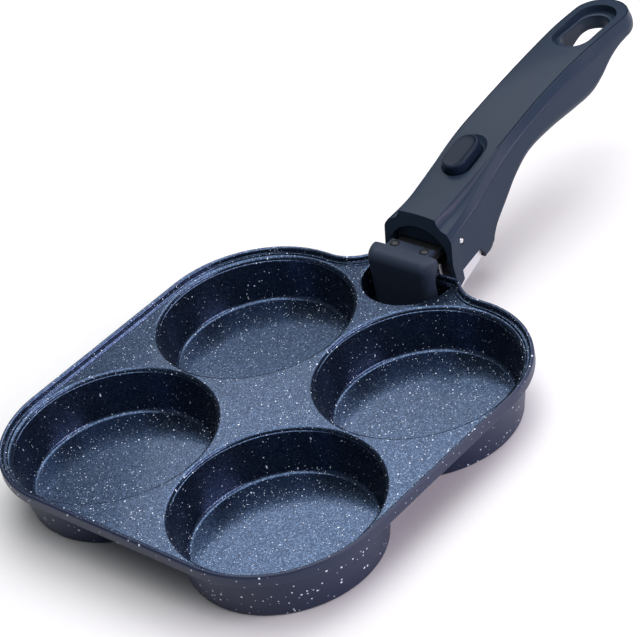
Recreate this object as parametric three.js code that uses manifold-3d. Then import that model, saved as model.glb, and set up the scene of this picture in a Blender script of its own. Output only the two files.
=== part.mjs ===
// Four-cup egg pan with a detachable clamp handle.
// Millimetres, +Z up. The pan lies on z = 0, the handle points along +Y, and the origin is the
// middle of the whole object's footprint. The clamp jaw is drawn shut on the pan's clamp wall.
import * as THREE from 'three';
import { mergeVertices } from 'three/addons/utils/BufferGeometryUtils.js';
import Module from 'manifold-3d';

const wasm = await Module();
wasm.setup();

// General clearance between separate pieces
const FIT = 0.3;

// Pan: four round cups in a square deck with a raised rim
const CUP_MOUTH_R = 45;
const CUP_FOOT_R = 41;
const CUP_DEPTH = 20.5;
const CUP_WALL = 2.2;
const CUP_WEB = 3.2;
const CUP_FLOOR_FILLET = 2.5;
const CUP_LIP_R = 1.5;
const BASE_T = 4.5;
const BASE_EDGE_R = 1.5;
const EDGE_MARGIN = 5.4;
const DECK_T = 2.4;
const DECK_EDGE_R = 0.8;
const RIM_H = 3;
const RIM_W = 2.2;
const LEDGE_W = 1.1;
const LEDGE_H = 0.9;
const LEDGE_DRAFT = 0.3;

// Neck of the pan: a blind half-round pocket behind a flat wall that the handle clamps
const NECK_OUT = 8.5;
const NECK_SHOULDER_R = 6;
const NECK_FILLET_R = 20;
const POCKET_R = 22.5;
const POCKET_DEPTH = 15.5;
const POCKET_WALL = 2.5;
const POCKET_FLOOR_T = 2.5;
const CLAMP_WALL_T = 3.8;

// Handle body: lofted sections, placed from the clamp wall's outer face (y) and the deck (z).
// Each section gives half-width and height of the top edge, of the shoulder and of the side ridge,
// then half-width, height and corner radius of the underside.
const SECTIONS = [
  { y: 2, top: [10.2, 24.6], shoulder: [17, 19.6], ridge: [19.7, 16.2], floor: [19.6, -8, 1.5] },
  { y: 16, top: [10.6, 27.1], shoulder: [15.7, 21.8], ridge: [18.2, 18.6], floor: [18.7, -8, 1.5] },
  { y: 28, top: [11.2, 29.9], shoulder: [14.8, 25.1], ridge: [17.4, 21.4], floor: [17.9, -5.8, 2] },
  { y: 34, top: [11.6, 31.4], shoulder: [14.5, 27.5], ridge: [17.1, 23.7], floor: [17.4, -4.8, 2.5] },
  { y: 40, top: [11.9, 32.9], shoulder: [14.2, 30.1], ridge: [16.8, 26.3], floor: [17, 2.1, 3.5] },
  { y: 50, top: [12.5, 35.4], shoulder: [13.8, 34.2], ridge: [16.4, 30.2], floor: [16.6, 9, 5] },
  { y: 60, top: [12.9, 37.9], shoulder: [13.3, 37.5], ridge: [16.1, 33.4], floor: [16.4, 16.3, 6] },
  { y: 72, top: [12.7, 40.4], shoulder: [13, 40.1], ridge: [16, 36.4], floor: [16.3, 22, 6.5] },
  { y: 90, top: [12.5, 43.6], shoulder: [12.8, 43.3], ridge: [16, 39.8], floor: [16.3, 23.7, 7] },
  { y: 110, top: [12.7, 46.3], shoulder: [13, 46], ridge: [16, 42], floor: [16.3, 23.4, 7] },
  { y: 124, top: [13.1, 47.6], shoulder: [13.4, 47.3], ridge: [16, 42.6], floor: [16.2, 24, 6.5] },
  { y: 133, top: [13.5, 48.2], shoulder: [13.8, 47.9], ridge: [15.9, 42.8], floor: [16, 28.1, 5.5] },
  { y: 140, top: [13.7, 48.5], shoulder: [13.9, 48.2], ridge: [15.8, 43], floor: [15.9, 33.2, 4.5] },
  { y: 148, top: [13.8, 48.6], shoulder: [14, 48.3], ridge: [15.6, 43.4], floor: [15.6, 36.6, 3.5] },
  { y: 155.5, top: [13.8, 48.6], shoulder: [14, 48.3], ridge: [15.5, 43.5], floor: [15.5, 38.1, 3] },
];
const TOP_CROWN = 0.5;
const COVE_SAG = 0.16;
const COVE_STEPS = [0.25, 0.5, 0.75];
const LOFT_STEP = 5;
const BODY_WALL = 2.4;

// Nose of the handle body: arched mouth in front, a window in each cheek for the steel bracket
const NOSE_FRONT = [[7.3, 27], [3.5, 6], [4.5, -3], [6.5, -9]];
const MOUTH_DEPTH = 7.5;
const MOUTH_WEB_T = 1.7;
const MOUTH_SLOT_GAP = 0.8;
const MOUTH_SPRING_Z = 8;
const MOUTH_TOP_Z = 19.8;
const CHEEK_WINDOW = [
  [10, -0.8], [25.5, 1.2], [27.4, -2.2], [29.5, -12], [6, -12], [6, -7.4], [10, -5.5],
];
const NOSE_CEILING_Z = 16.2;
const GEAR_BAY = [26, 57];
const GEAR_BAY_HALF = 11;
const GEAR_BAY_CEILING_Z = 25;

// Hanging loop in the tail
const LOOP_HALF = 7.5;
const LOOP_SPAN = [128.5, 158];
const LOOP_STEP_HALF = 10;
const LOOP_STEP_SPAN = [124, 163];
const LOOP_STEP_DEPTH = 2.6;
const LOOP_RELIEF = 1.5;
const LOOP_RELIEF_Z = 41.3;

// Underside cover and its two screws
const COVER_SPAN = [48.6, 100];
const COVER_T = 2.2;
const COVER_HALF = 9.5;
const SCREW_SETBACKS = [20, 6];
const SCREW_HEAD_R = 3;
const SCREW_HEAD_H = 1.7;
const SCREW_R = 1.5;
const SCREW_L = 11;
const SCREW_SINK = 0.4;

// Steel support bracket: front plate against the clamp wall, sloping floor and two side flanges
const BRACKET_T = 1.5;
const BRACKET_HALF = 16;
const BRACKET_PLATE_HALF = 14;
const BRACKET_PLATE_TOP_Z = 6.5;
const BRACKET_REAR = [26, -5.5];
const BRACKET_SLOPE = 0.378;
const BRACKET_FLANGE_FRONT = 6.5;
const BRACKET_FLANGE_TOP = [9.6, 19];
const BRACKET_FLANGE_TOP_Z = 15.4;
const BRACKET_NOTCH_Z = 0;
const BRACKET_BEND = 1.2;

// Cross pin through the cheeks, the bracket and the guide block
const PIN_AT = [13.2, 13];
const PIN_R = 1.5;
const PIN_HALF = 18.6;

// Jaw carriage: one bent steel strip with a hook in front and a stepped-up tail
const STRIP_T = 2.5;
const STRIP_Z = 8.5;
const STRIP_HALF = 12;
const STRIP_WAIST_HALF = 9.5;
const STRIP_WAIST_FROM = 22;
const STRIP_BEND = 1.5;
const HOOK_DROP = 21;
const STEP_FROM = 36.3;
const STEP_RUN = 4.2;
const STEP_RISE = 8.5;
const TAIL_HALF = 5;
const TAIL_END = 55.5;
const LUG_AT = 23.7;
const LUG_T = 2;
const LUG_HALF = 6;
const LUG_DROP = 11;

// Jaw boot, grip pad and rivets
const BOOT_HALF = 18;
const BOOT_T = 4.5;
const BOOT_TOP_Z = 14;
const BOOT_FRONT_R = 5;
const BOOT_BROW_R = 4.5;
const BOOT_DROP = 27.5;
const BOOT_BACK = -4.2;
const BOOT_BACK_H = 3.5;
const BOOT_HAUNCH_H = 6;
const BOOT_FLANGE_END = 1.5;
const BOOT_FLANGE_T = 2;
const BOOT_FLANGE_ROOT = 1;
const PAD_T = 1.6;
const PAD_HALF = 11;
const PAD_SPAN = [-11.5, -0.5];
const RIVET_X = 8.5;
const RIVET_AT = -1.4;
const RIVET_R = 1.5;
const RIVET_HEAD_R = 2.2;
const RIVET_HEAD_H = 0.7;

// Guide block round the strip
const GUIDE_SPAN = [9.6, 18.5];
const GUIDE_FOOT_Z = 5.8;
const GUIDE_LIP = 2;

// Trigger: a lever on its own pin, with a finger in the strip's slot and a tab under the handle
const TRIGGER_AT = [30.5, 1];
const TRIGGER_HALF = 7.5;
const TRIGGER_HUB_R = 3.6;
const TRIGGER_TURN = 32;
const TRIGGER_PIN_HALF = 14.7;
const FINGER_R = 1.9;
const FINGER_L = 10.6;
const FINGER_HALF = 4;
const TAB_TOP = [47.5, 3];
const TAB_REAR = [47.2, -9.5];
const TAB_TIP = [43.4, -12.2];
const TAB_FRONT = [39.6, -10.2];

// Release button on the sloping top face
const BUTTON_AT = 43.8;
const BUTTON_TILT = THREE.MathUtils.degToRad(14);
const BUTTON_HALF = 6;
const BUTTON_HALF_L = 11;
const BUTTON_PROUD = 4.4;
const BUTTON_SKIRT = 1.8;
const BUTTON_SHELL = 2;
const BUTTON_EDGE_R = 1;
const BUTTON_DISH_R = 30;
const BUTTON_DISH_DEPTH = 0.7;
const BUTTON_STROKE = 3;
const BUTTON_GAP = 0.4;
const BUTTON_WELL = 5.2;
const SCOOP_DEPTH = 1.6;
const SCOOP_FLARE = 3;
const SCOOP_SHIFT = 2;
const STEM_HALF = 4;
const STEM_T = 4.5;
const STEM_END_Z = 22.8;
const BARB = 1;

// Lock plate that grips the carriage's tail, on its own pin
const LOCK_AT = [49.5, 13.9];
const LOCK_LEAN = THREE.MathUtils.degToRad(5);
const LOCK_T = 2;
const LOCK_HALF = 8;
const LOCK_TOP = 10.5;
const LOCK_KNUCKLE_R = 2;
const LOCK_GAP = 0.45;
const LOCK_PIN_R = 1;
const LOCK_PIN_HALF = 12.7;
const LOCK_CONTACT = 0.3;

// Springs: radius to the wire's middle, wire radius, turns
const JAW_SPRING = { r: 3.7, wire: 0.55, turns: 8, z: 2.7 };
const BUTTON_SPRING = { r: 2.6, wire: 0.35, turns: 4, at: -5 };
const LOCK_SPRING = { r: 1.8, wire: 0.3, turns: 5, z: 22.2 };

// Facet counts
const CUP_SEGMENTS = 44;
const CORNER_SEGMENTS = 12;
const NECK_SEGMENTS = 4;
const ARC_SEGMENTS = 6;
const TAIL_SEGMENTS = 32;
const PIN_SEGMENTS = 16;
const TURN_STEPS = 8;
const WIRE_SIDES = 5;

// Levels and places that follow from the sizes above
const DECK_Z = BASE_T + CUP_DEPTH;
const CUP_OFFSET = CUP_MOUTH_R + CUP_WEB / 2;
const CORNER_R = CUP_MOUTH_R + EDGE_MARGIN;
const PAN_HALF = CUP_OFFSET + CORNER_R;
const CLAMP_Y = PAN_HALF + NECK_OUT;
const NECK_HALF = POCKET_R + FIT;
const TAIL_SECTION = SECTIONS[SECTIONS.length - 1];
const TAIL_R = TAIL_SECTION.ridge[0];
const TAIL_Y = TAIL_SECTION.y + TAIL_R;
const ORIGIN_Y = (CLAMP_Y + TAIL_Y - PAN_HALF) / 2;
const STRIP_TOP_Z = STRIP_Z + STRIP_T;
const TAIL_Z = STRIP_Z + STEP_RISE;
const PAD_FACE = -CLAMP_WALL_T - FIT;
const HOOK_BACK = PAD_FACE - PAD_T - FIT;
const HOOK_FRONT = HOOK_BACK - STRIP_T;
const BOOT_PLATE_BACK = HOOK_FRONT - FIT;
const BOOT_FRONT = BOOT_PLATE_BACK - BOOT_T;
const BODY_HALF_INNER = BRACKET_HALF + FIT;
const SCREW_AT = SCREW_SETBACKS.map((setback) => COVER_SPAN[1] - setback);

// Materials
const finish = (color, roughness, metalness) =>
  new THREE.MeshStandardMaterial({ color, roughness, metalness });
const coatedAluminium = () => finish(0x3a455c, 0.45, 0.2);
const handlePlastic = () => finish(0x39424f, 0.6, 0);
const coverPlastic = () => finish(0x2c323c, 0.7, 0);
const brightSteel = () => finish(0xc4c6cc, 0.3, 1);
const blackSteel = () => finish(0x1c1e22, 0.5, 0.6);
const blackRubber = () => finish(0x15181d, 0.75, 0);

// Solids: closed geometry in, joined and cut, closed geometry out
function solid(geometry) {
  geometry.deleteAttribute('normal');
  geometry.deleteAttribute('uv');
  const welded = mergeVertices(geometry, 1e-4);
  const vertProperties = new Float32Array(welded.attributes.position.array);
  const triVerts = new Uint32Array(welded.index.array);
  return new wasm.Manifold(new wasm.Mesh({ numProp: 3, vertProperties, triVerts }));
}

function surface(body) {
  const { vertProperties, triVerts } = body.getMesh();
  const geometry = new THREE.BufferGeometry();
  geometry.setAttribute('position', new THREE.BufferAttribute(vertProperties, 3));
  geometry.setIndex(new THREE.BufferAttribute(triVerts, 1));
  geometry.computeVertexNormals();
  return geometry;
}

const join = (...bodies) => bodies.reduce((whole, body) => whole.add(body));
const cut = (body, ...tools) => tools.reduce((whole, tool) => whole.subtract(tool), body);

// Extrusions of an outline: up along Z, across along X (outline in y, z) and along Y (outline in x, z)
const outline = (points) => new THREE.Shape(points.map(([u, w]) => new THREE.Vector2(u, w)));
const ACROSS = new THREE.Matrix4().makeBasis(
  new THREE.Vector3(0, 1, 0),
  new THREE.Vector3(0, 0, 1),
  new THREE.Vector3(1, 0, 0),
);
const ALONG = new THREE.Matrix4().makeBasis(
  new THREE.Vector3(1, 0, 0),
  new THREE.Vector3(0, 0, 1),
  new THREE.Vector3(0, -1, 0),
);

function prism(shape, depth) {
  return new THREE.ExtrudeGeometry(shape, { depth, bevelEnabled: false, curveSegments: ARC_SEGMENTS });
}

const upward = (shape, z0, z1) => solid(prism(shape, z1 - z0).translate(0, 0, z0));
const across = (shape, x0, x1) => solid(prism(shape, x1 - x0).applyMatrix4(ACROSS).translate(x0, 0, 0));
const along = (shape, y0, y1) => solid(prism(shape, y1 - y0).applyMatrix4(ALONG).translate(0, y1, 0));

function block([x0, x1], [y0, y1], [z0, z1]) {
  const box = new THREE.BoxGeometry(x1 - x0, y1 - y0, z1 - z0);
  return solid(box.translate((x0 + x1) / 2, (y0 + y1) / 2, (z0 + z1) / 2));
}

// A round bar along X through a point of the side view
function bar([y, z], radius, x0, x1) {
  const rod = new THREE.CylinderGeometry(radius, radius, x1 - x0, PIN_SEGMENTS);
  return solid(rod.rotateZ(Math.PI / 2).translate((x0 + x1) / 2, y, z));
}

// An outline with straight sides along its longer axis and half-round ends
function stadium(half, halfLength) {
  const straight = halfLength - half;
  const quarter = Math.PI / 2;
  const shape = new THREE.Shape();
  if (straight >= 0) {
    shape.absarc(0, straight, half, 0, 2 * quarter, false);
    shape.absarc(0, -straight, half, 2 * quarter, 4 * quarter, false);
  } else {
    shape.absarc(straight, 0, halfLength, quarter, 3 * quarter, false);
    shape.absarc(-straight, 0, halfLength, 3 * quarter, 5 * quarter, false);
  }
  return shape;
}

const arcPoints = (cx, cy, r, from, to, steps) =>
  Array.from({ length: steps + 1 }, (_, i) => {
    const angle = from + ((to - from) * i) / steps;
    return [cx + r * Math.cos(angle), cy + r * Math.sin(angle)];
  });

function lathe(points, segments) {
  const profile = points.map(([r, z]) => new THREE.Vector2(r, z));
  return solid(new THREE.LatheGeometry(profile, segments).rotateX(Math.PI / 2));
}

// A closed skin over rings of equally many points, with a fan over the first and the last ring
function loft(rings) {
  const count = rings[0].length;
  const middle = (ring) => ring.reduce((sum, p) => sum.add(p), new THREE.Vector3()).divideScalar(count);
  const points = [...rings.flat(), middle(rings[0]), middle(rings[rings.length - 1])];
  const index = [];
  for (let i = 0; i + 1 < rings.length; i++) {
    for (let j = 0; j < count; j++) {
      const a = i * count + j;
      const b = i * count + ((j + 1) % count);
      index.push(a, b, b + count, a, b + count, a + count);
    }
  }
  const last = (rings.length - 1) * count;
  for (let j = 0; j < count; j++) {
    const next = (j + 1) % count;
    index.push(points.length - 2, next, j, points.length - 1, last + j, last + next);
  }
  return solid(new THREE.BufferGeometry().setFromPoints(points).setIndex(index));
}

// A helical wire from one end plane to the other along its local Z
class Helix extends THREE.Curve {
  constructor(radius, turns, z0, z1) {
    super();
    Object.assign(this, { radius, turns, z0, z1 });
  }
  getPoint(t, target = new THREE.Vector3()) {
    const angle = 2 * Math.PI * this.turns * t;
    const z = THREE.MathUtils.lerp(this.z0, this.z1, t);
    return target.set(this.radius * Math.cos(angle), this.radius * Math.sin(angle), z);
  }
}

function coil({ r, wire, turns }, length) {
  const section = new THREE.Shape().absarc(0, 0, wire, 0, 2 * Math.PI, false);
  const ring = new THREE.Shape(section.getSpacedPoints(WIRE_SIDES).slice(0, WIRE_SIDES));
  const extrudePath = new Helix(r, turns, wire, length - wire);
  return new THREE.ExtrudeGeometry(ring, { steps: TURN_STEPS * turns, extrudePath, bevelEnabled: false });
}

// Pan outline: points with their outward normals, so that every offset of it is exact
function panOutline() {
  const rise = NECK_OUT / (NECK_SHOULDER_R + NECK_FILLET_R);
  const sweep = Math.acos(1 - rise);
  const run = (NECK_SHOULDER_R + NECK_FILLET_R) * Math.sin(sweep);
  const points = [];
  const arc = (cx, cy, r, from, to, steps, side) => {
    for (let i = 0; i <= steps; i++) {
      const angle = from + ((to - from) * i) / steps;
      const normal = new THREE.Vector2(Math.cos(angle), Math.sin(angle));
      const at = new THREE.Vector2(cx, cy).addScaledVector(normal, r);
      points.push({ at, out: normal.multiplyScalar(side) });
    }
  };
  const quarter = Math.PI / 2;
  const filletX = NECK_HALF + run;
  const filletY = PAN_HALF + NECK_FILLET_R;
  const shoulderY = CLAMP_Y - NECK_SHOULDER_R;
  arc(CUP_OFFSET, -CUP_OFFSET, CORNER_R, -quarter, 0, CORNER_SEGMENTS, 1);
  arc(CUP_OFFSET, CUP_OFFSET, CORNER_R, 0, quarter, CORNER_SEGMENTS, 1);
  arc(filletX, filletY, NECK_FILLET_R, -quarter, -quarter - sweep, NECK_SEGMENTS, -1);
  arc(NECK_HALF, shoulderY, NECK_SHOULDER_R, quarter - sweep, quarter, NECK_SEGMENTS, 1);
  arc(-NECK_HALF, shoulderY, NECK_SHOULDER_R, quarter, quarter + sweep, NECK_SEGMENTS, 1);
  arc(-filletX, filletY, NECK_FILLET_R, -quarter + sweep, -quarter, NECK_SEGMENTS, -1);
  arc(-CUP_OFFSET, CUP_OFFSET, CORNER_R, quarter, 2 * quarter, CORNER_SEGMENTS, 1);
  arc(-CUP_OFFSET, -CUP_OFFSET, CORNER_R, 2 * quarter, 3 * quarter, CORNER_SEGMENTS, 1);
  return points.filter(({ at }, i) => at.distanceTo(points[(i + 1) % points.length].at) > 1e-6);
}

// Deck and rim in one skin: the rim's section, as inset and height, carried round the outline
function deckAndRim() {
  const bead = RIM_W / 2;
  const ledgeEnd = RIM_W + LEDGE_W;
  const section = [
    [DECK_EDGE_R, -DECK_T],
    [0, DECK_EDGE_R - DECK_T],
    ...arcPoints(bead, RIM_H - bead, bead, Math.PI, 0, ARC_SEGMENTS),
    [RIM_W, LEDGE_H],
    [ledgeEnd, LEDGE_H],
    [ledgeEnd + LEDGE_DRAFT, 0],
  ];
  const edge = panOutline();
  const ring = ([inset, z]) =>
    edge.map(({ at, out }) => new THREE.Vector3(at.x - inset * out.x, at.y - inset * out.y, DECK_Z + z));
  return loft(section.map(ring));
}

const cupDraft = (CUP_MOUTH_R - CUP_FOOT_R) / CUP_DEPTH;

function cupOutside() {
  const wallR = (z) => CUP_MOUTH_R + CUP_WALL - (DECK_Z - z) * cupDraft;
  const footR = wallR(BASE_EDGE_R) - BASE_EDGE_R;
  const top = DECK_Z - DECK_T / 2;
  return lathe([
    [0, 0],
    ...arcPoints(footR, BASE_EDGE_R, BASE_EDGE_R, -Math.PI / 2, 0, 3),
    [wallR(top), top],
    [0, top],
  ], CUP_SEGMENTS);
}

function cupInside() {
  const filletR = CUP_FOOT_R + cupDraft * CUP_FLOOR_FILLET - CUP_FLOOR_FILLET;
  const lipR = CUP_MOUTH_R + CUP_LIP_R;
  return lathe([
    [0, BASE_T],
    ...arcPoints(filletR, BASE_T + CUP_FLOOR_FILLET, CUP_FLOOR_FILLET, -Math.PI / 2, 0, 3),
    ...arcPoints(lipR, DECK_Z - CUP_LIP_R, CUP_LIP_R, Math.PI, Math.PI / 2, 3),
    [lipR, DECK_Z + LEDGE_H],
    [0, DECK_Z + LEDGE_H],
  ], CUP_SEGMENTS);
}

// The pocket's plan: a half-disc, closed by a straight back or by a wall with rounded corners
function pocketShape(radius, wall) {
  const middleY = CLAMP_Y - CLAMP_WALL_T;
  const shape = new THREE.Shape();
  shape.absarc(0, middleY, radius, Math.PI, 2 * Math.PI, false);
  if (wall > 0) {
    shape.absarc(radius - wall, middleY, wall, 0, Math.PI / 2, false);
    shape.absarc(wall - radius, middleY, wall, Math.PI / 2, Math.PI, false);
  }
  return shape;
}

function panBody() {
  const pocketFloor = DECK_Z - POCKET_DEPTH;
  const pocketSkin = pocketShape(POCKET_R + POCKET_WALL, CLAMP_WALL_T);
  const pocket = upward(pocketSkin, pocketFloor - POCKET_FLOOR_T, DECK_Z - DECK_T / 2);
  let body = join(deckAndRim(), pocket);
  const centres = [-CUP_OFFSET, CUP_OFFSET].flatMap((x) => [-CUP_OFFSET, CUP_OFFSET].map((y) => [x, y, 0]));
  for (const centre of centres) body = body.add(cupOutside().translate(centre));
  for (const centre of centres) body = body.subtract(cupInside().translate(centre));
  const hollow = pocketShape(POCKET_R, 0);
  return body.subtract(upward(hollow, pocketFloor, DECK_Z + LEDGE_H));
}

// Handle sections between the given ones: smooth curves through every named value
function curveThrough(pick) {
  const slope = (a, b) => (pick(b) - pick(a)) / (b.y - a.y);
  const before = (i) => SECTIONS[Math.max(i - 1, 0)];
  const after = (i) => SECTIONS[Math.min(i + 1, SECTIONS.length - 1)];
  const tangents = SECTIONS.map((_, i) => slope(before(i), after(i)));
  return (y) => {
    const i = Math.max(0, Math.min(SECTIONS.findIndex((s) => s.y > y) - 1, SECTIONS.length - 2));
    const k = y >= TAIL_SECTION.y ? SECTIONS.length - 2 : i;
    const [a, b] = [SECTIONS[k], SECTIONS[k + 1]];
    const span = b.y - a.y;
    const t = (y - a.y) / span;
    const rise = pick(b) - pick(a);
    const m0 = tangents[k] * span;
    const m1 = tangents[k + 1] * span;
    return pick(a) + t * (m0 + t * (3 * rise - 2 * m0 - m1 + t * (m0 + m1 - 2 * rise)));
  };
}

const topHalf = curveThrough((s) => s.top[0]);
const topZ = curveThrough((s) => s.top[1]);
const shoulderHalf = curveThrough((s) => s.shoulder[0]);
const shoulderZ = curveThrough((s) => s.shoulder[1]);
const ridgeHalf = curveThrough((s) => s.ridge[0]);
const ridgeZ = curveThrough((s) => s.ridge[1]);
const floorHalf = curveThrough((s) => s.floor[0]);
const floorZ = curveThrough((s) => s.floor[1]);
const floorR = curveThrough((s) => s.floor[2]);

// Hollow cove between the top edge and the shoulder, sagging inwards by a share of its chord
function covePoints(y) {
  const dx = shoulderHalf(y) - topHalf(y);
  const dz = shoulderZ(y) - topZ(y);
  return COVE_STEPS.map((t) => {
    const sag = 4 * COVE_SAG * t * (1 - t);
    return [topHalf(y) + dx * t + dz * sag, topZ(y) + dz * t - dx * sag];
  });
}

// Right half of a handle section, from the middle of the top to the middle of the underside
function halfSection(y) {
  const r = floorR(y);
  return [
    [0, topZ(y) + TOP_CROWN],
    [topHalf(y) / 2, topZ(y) + TOP_CROWN * 0.75],
    [topHalf(y), topZ(y)],
    ...covePoints(y),
    [shoulderHalf(y), shoulderZ(y)],
    [ridgeHalf(y), ridgeZ(y)],
    ...arcPoints(floorHalf(y) - r, floorZ(y) + r, r, 0, -Math.PI / 2, 4),
    [0, floorZ(y)],
  ];
}

function handleSkin() {
  const first = SECTIONS[0].y;
  const steps = Math.round((TAIL_SECTION.y - first) / LOFT_STEP);
  const rings = Array.from({ length: steps + 1 }, (_, i) => {
    const y = first + ((TAIL_SECTION.y - first) * i) / steps;
    const right = halfSection(y);
    const left = right.slice(1, -1).reverse().map(([x, z]) => [-x, z]);
    return [...right, ...left].map(([x, z]) => new THREE.Vector3(x, y, z));
  });
  const tail = lathe(halfSection(TAIL_SECTION.y).reverse(), TAIL_SEGMENTS);
  return join(loft(rings), tail.translate([0, TAIL_SECTION.y, 0]));
}

// A slab that follows the underside, from well below it to a given height above it
function undersideSlab(half, [y0, y1], height) {
  const steps = Math.round((y1 - y0) / LOFT_STEP);
  const ys = Array.from({ length: steps + 1 }, (_, i) => y0 + ((y1 - y0) * i) / steps);
  const upper = ys.map((y) => [y, floorZ(y) + height]);
  const below = DECK_Z;
  return across(outline([[y0, -below], [y1, -below], ...upper.reverse()]), -half, half);
}

// The plane of the underside at a place along the handle, for the screws
function onUnderside(y) {
  const step = 1;
  const slope = Math.atan2(floorZ(y + step) - floorZ(y - step), 2 * step);
  return new THREE.Matrix4().makeRotationX(slope).setPosition(0, y, floorZ(y));
}

const placed = (body, matrix) => body.transform(matrix.elements);

// The button's own plane on the top face
const buttonZ = topZ(BUTTON_AT) + TOP_CROWN;
const buttonPlane = new THREE.Matrix4().makeRotationX(BUTTON_TILT).setPosition(0, BUTTON_AT, buttonZ);

function buttonScoop() {
  const ringAt = (grow, z) =>
    stadium(BUTTON_HALF + grow, BUTTON_HALF_L + grow)
      .extractPoints(ARC_SEGMENTS)
      .shape.slice(0, -1)
      .map(({ x, y }) => new THREE.Vector3(x, y + SCOOP_SHIFT * (grow / SCOOP_FLARE), z));
  return loft([ringAt(BUTTON_GAP, -SCOOP_DEPTH), ringAt(SCOOP_FLARE, SCOOP_DEPTH)]);
}

// The stem's rear face leans so that it stays level with the lock plate's top edge as both move
const lockTop = (lean) => [
  LOCK_AT[0] - LOCK_TOP * Math.sin(lean) - (LOCK_T / 2) * Math.cos(lean),
  LOCK_AT[1] + LOCK_TOP * Math.cos(lean) - (LOCK_T / 2) * Math.sin(lean),
];

function stemRear(z) {
  const [y0, z0] = lockTop(LOCK_LEAN);
  const [y1, z1] = lockTop(0);
  const run = y1 - y0 - BUTTON_STROKE * Math.sin(BUTTON_TILT);
  const rise = z1 - z0 + BUTTON_STROKE * Math.cos(BUTTON_TILT);
  return y0 - LOCK_CONTACT + ((z - z0) * run) / rise;
}

function stemHole() {
  const reach = BUTTON_STROKE * Math.sin(BUTTON_TILT) + FIT;
  const wellZ = buttonZ - BUTTON_WELL;
  const front = stemRear(GEAR_BAY_CEILING_Z) - STEM_T - FIT;
  const rear = stemRear(wellZ) + reach;
  return block([-STEM_HALF - FIT, STEM_HALF + FIT], [front, rear], [GEAR_BAY_CEILING_Z - 1, wellZ + 2]);
}

function mouthArch() {
  const shape = new THREE.Shape();
  shape.moveTo(-BODY_HALF_INNER, -DECK_Z);
  shape.lineTo(BODY_HALF_INNER, -DECK_Z);
  shape.absellipse(0, MOUTH_SPRING_Z, BODY_HALF_INNER, MOUTH_TOP_Z - MOUTH_SPRING_Z, 0, Math.PI, false, 0);
  return along(shape, -MOUTH_DEPTH, MOUTH_DEPTH);
}

function hangingLoop() {
  const high = 2 * DECK_Z + LOOP_RELIEF_Z;
  const opening = (half, [y0, y1], z0, z1) =>
    upward(stadium(half, (y1 - y0) / 2), z0, z1).translate([0, (y0 + y1) / 2, 0]);
  const reliefSpan = [LOOP_SPAN[0] - LOOP_RELIEF, LOOP_SPAN[1] + LOOP_RELIEF];
  return join(
    opening(LOOP_HALF, LOOP_SPAN, 0, high),
    opening(LOOP_STEP_HALF, LOOP_STEP_SPAN, topZ(LOOP_SPAN[1]) - LOOP_STEP_DEPTH, high),
    opening(LOOP_HALF + LOOP_RELIEF, reliefSpan, 0, LOOP_RELIEF_Z),
  );
}

function coverSeat() {
  const span = [COVER_SPAN[0] - FIT, COVER_SPAN[1] + FIT];
  return undersideSlab(COVER_HALF + FIT, span, COVER_T + FIT);
}

function screwBody(grow) {
  const headR = SCREW_HEAD_R + grow;
  const shankR = SCREW_R + grow;
  return lathe([
    [0, SCREW_SINK - grow * (DECK_Z / FIT)],
    [headR, SCREW_SINK - grow * (DECK_Z / FIT)],
    [headR, SCREW_SINK + grow],
    [shankR, SCREW_SINK + SCREW_HEAD_H + grow],
    [shankR, SCREW_SINK + SCREW_L + grow],
    [0, SCREW_SINK + SCREW_L + grow],
  ], PIN_SEGMENTS);
}

function handleBody() {
  const far = 2 * DECK_Z;
  const [noseTop] = NOSE_FRONT;
  const noseFoot = NOSE_FRONT[NOSE_FRONT.length - 1];
  const ahead = [[noseFoot[0], -far], [-far, -far], [-far, far], [noseTop[0], far]];
  const front = across(outline([...NOSE_FRONT, ...ahead]), -far, far);
  const window = across(outline(CHEEK_WINDOW), -far, far);
  const hallFront = MOUTH_DEPTH + MOUTH_WEB_T;
  const hallSides = [-BODY_HALF_INNER, BODY_HALF_INNER];
  const noseHall = block(hallSides, [hallFront, GEAR_BAY[0] + BODY_WALL], [-far, NOSE_CEILING_Z]);
  const mouthSlot = block(hallSides, [0, hallFront + FIT], [-far, STRIP_TOP_Z + MOUTH_SLOT_GAP]);
  const gearBay = block([-GEAR_BAY_HALF, GEAR_BAY_HALF], GEAR_BAY, [-far, GEAR_BAY_CEILING_Z]);
  const wellShape = stadium(BUTTON_HALF + BUTTON_GAP, BUTTON_HALF_L + BUTTON_GAP);
  const well = placed(upward(wellShape, -BUTTON_WELL, far), buttonPlane);
  const scoop = placed(buttonScoop(), buttonPlane);
  const pinHole = bar(PIN_AT, PIN_R + FIT, -far, far);
  const triggerPinHole = bar(TRIGGER_AT, PIN_R + FIT, -TRIGGER_PIN_HALF - FIT, TRIGGER_PIN_HALF + FIT);
  const lockPinHole = bar(LOCK_AT, LOCK_PIN_R + FIT, -LOCK_PIN_HALF - FIT, LOCK_PIN_HALF + FIT);
  const screwHoles = SCREW_AT.map((y) => placed(screwBody(FIT), onUnderside(y)));
  const nose = [front, window, noseHall, mouthSlot, gearBay, mouthArch()];
  const top = [well, scoop, stemHole(), hangingLoop()];
  const pins = [pinHole, triggerPinHole, lockPinHole];
  return cut(handleSkin(), ...nose, ...top, ...pins, coverSeat(), ...screwHoles);
}

function baseCover() {
  const slab = undersideSlab(COVER_HALF, COVER_SPAN, COVER_T);
  const screwHoles = SCREW_AT.map((y) => placed(screwBody(FIT), onUnderside(y)));
  return cut(handleSkin().intersect(slab), ...screwHoles);
}

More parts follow.
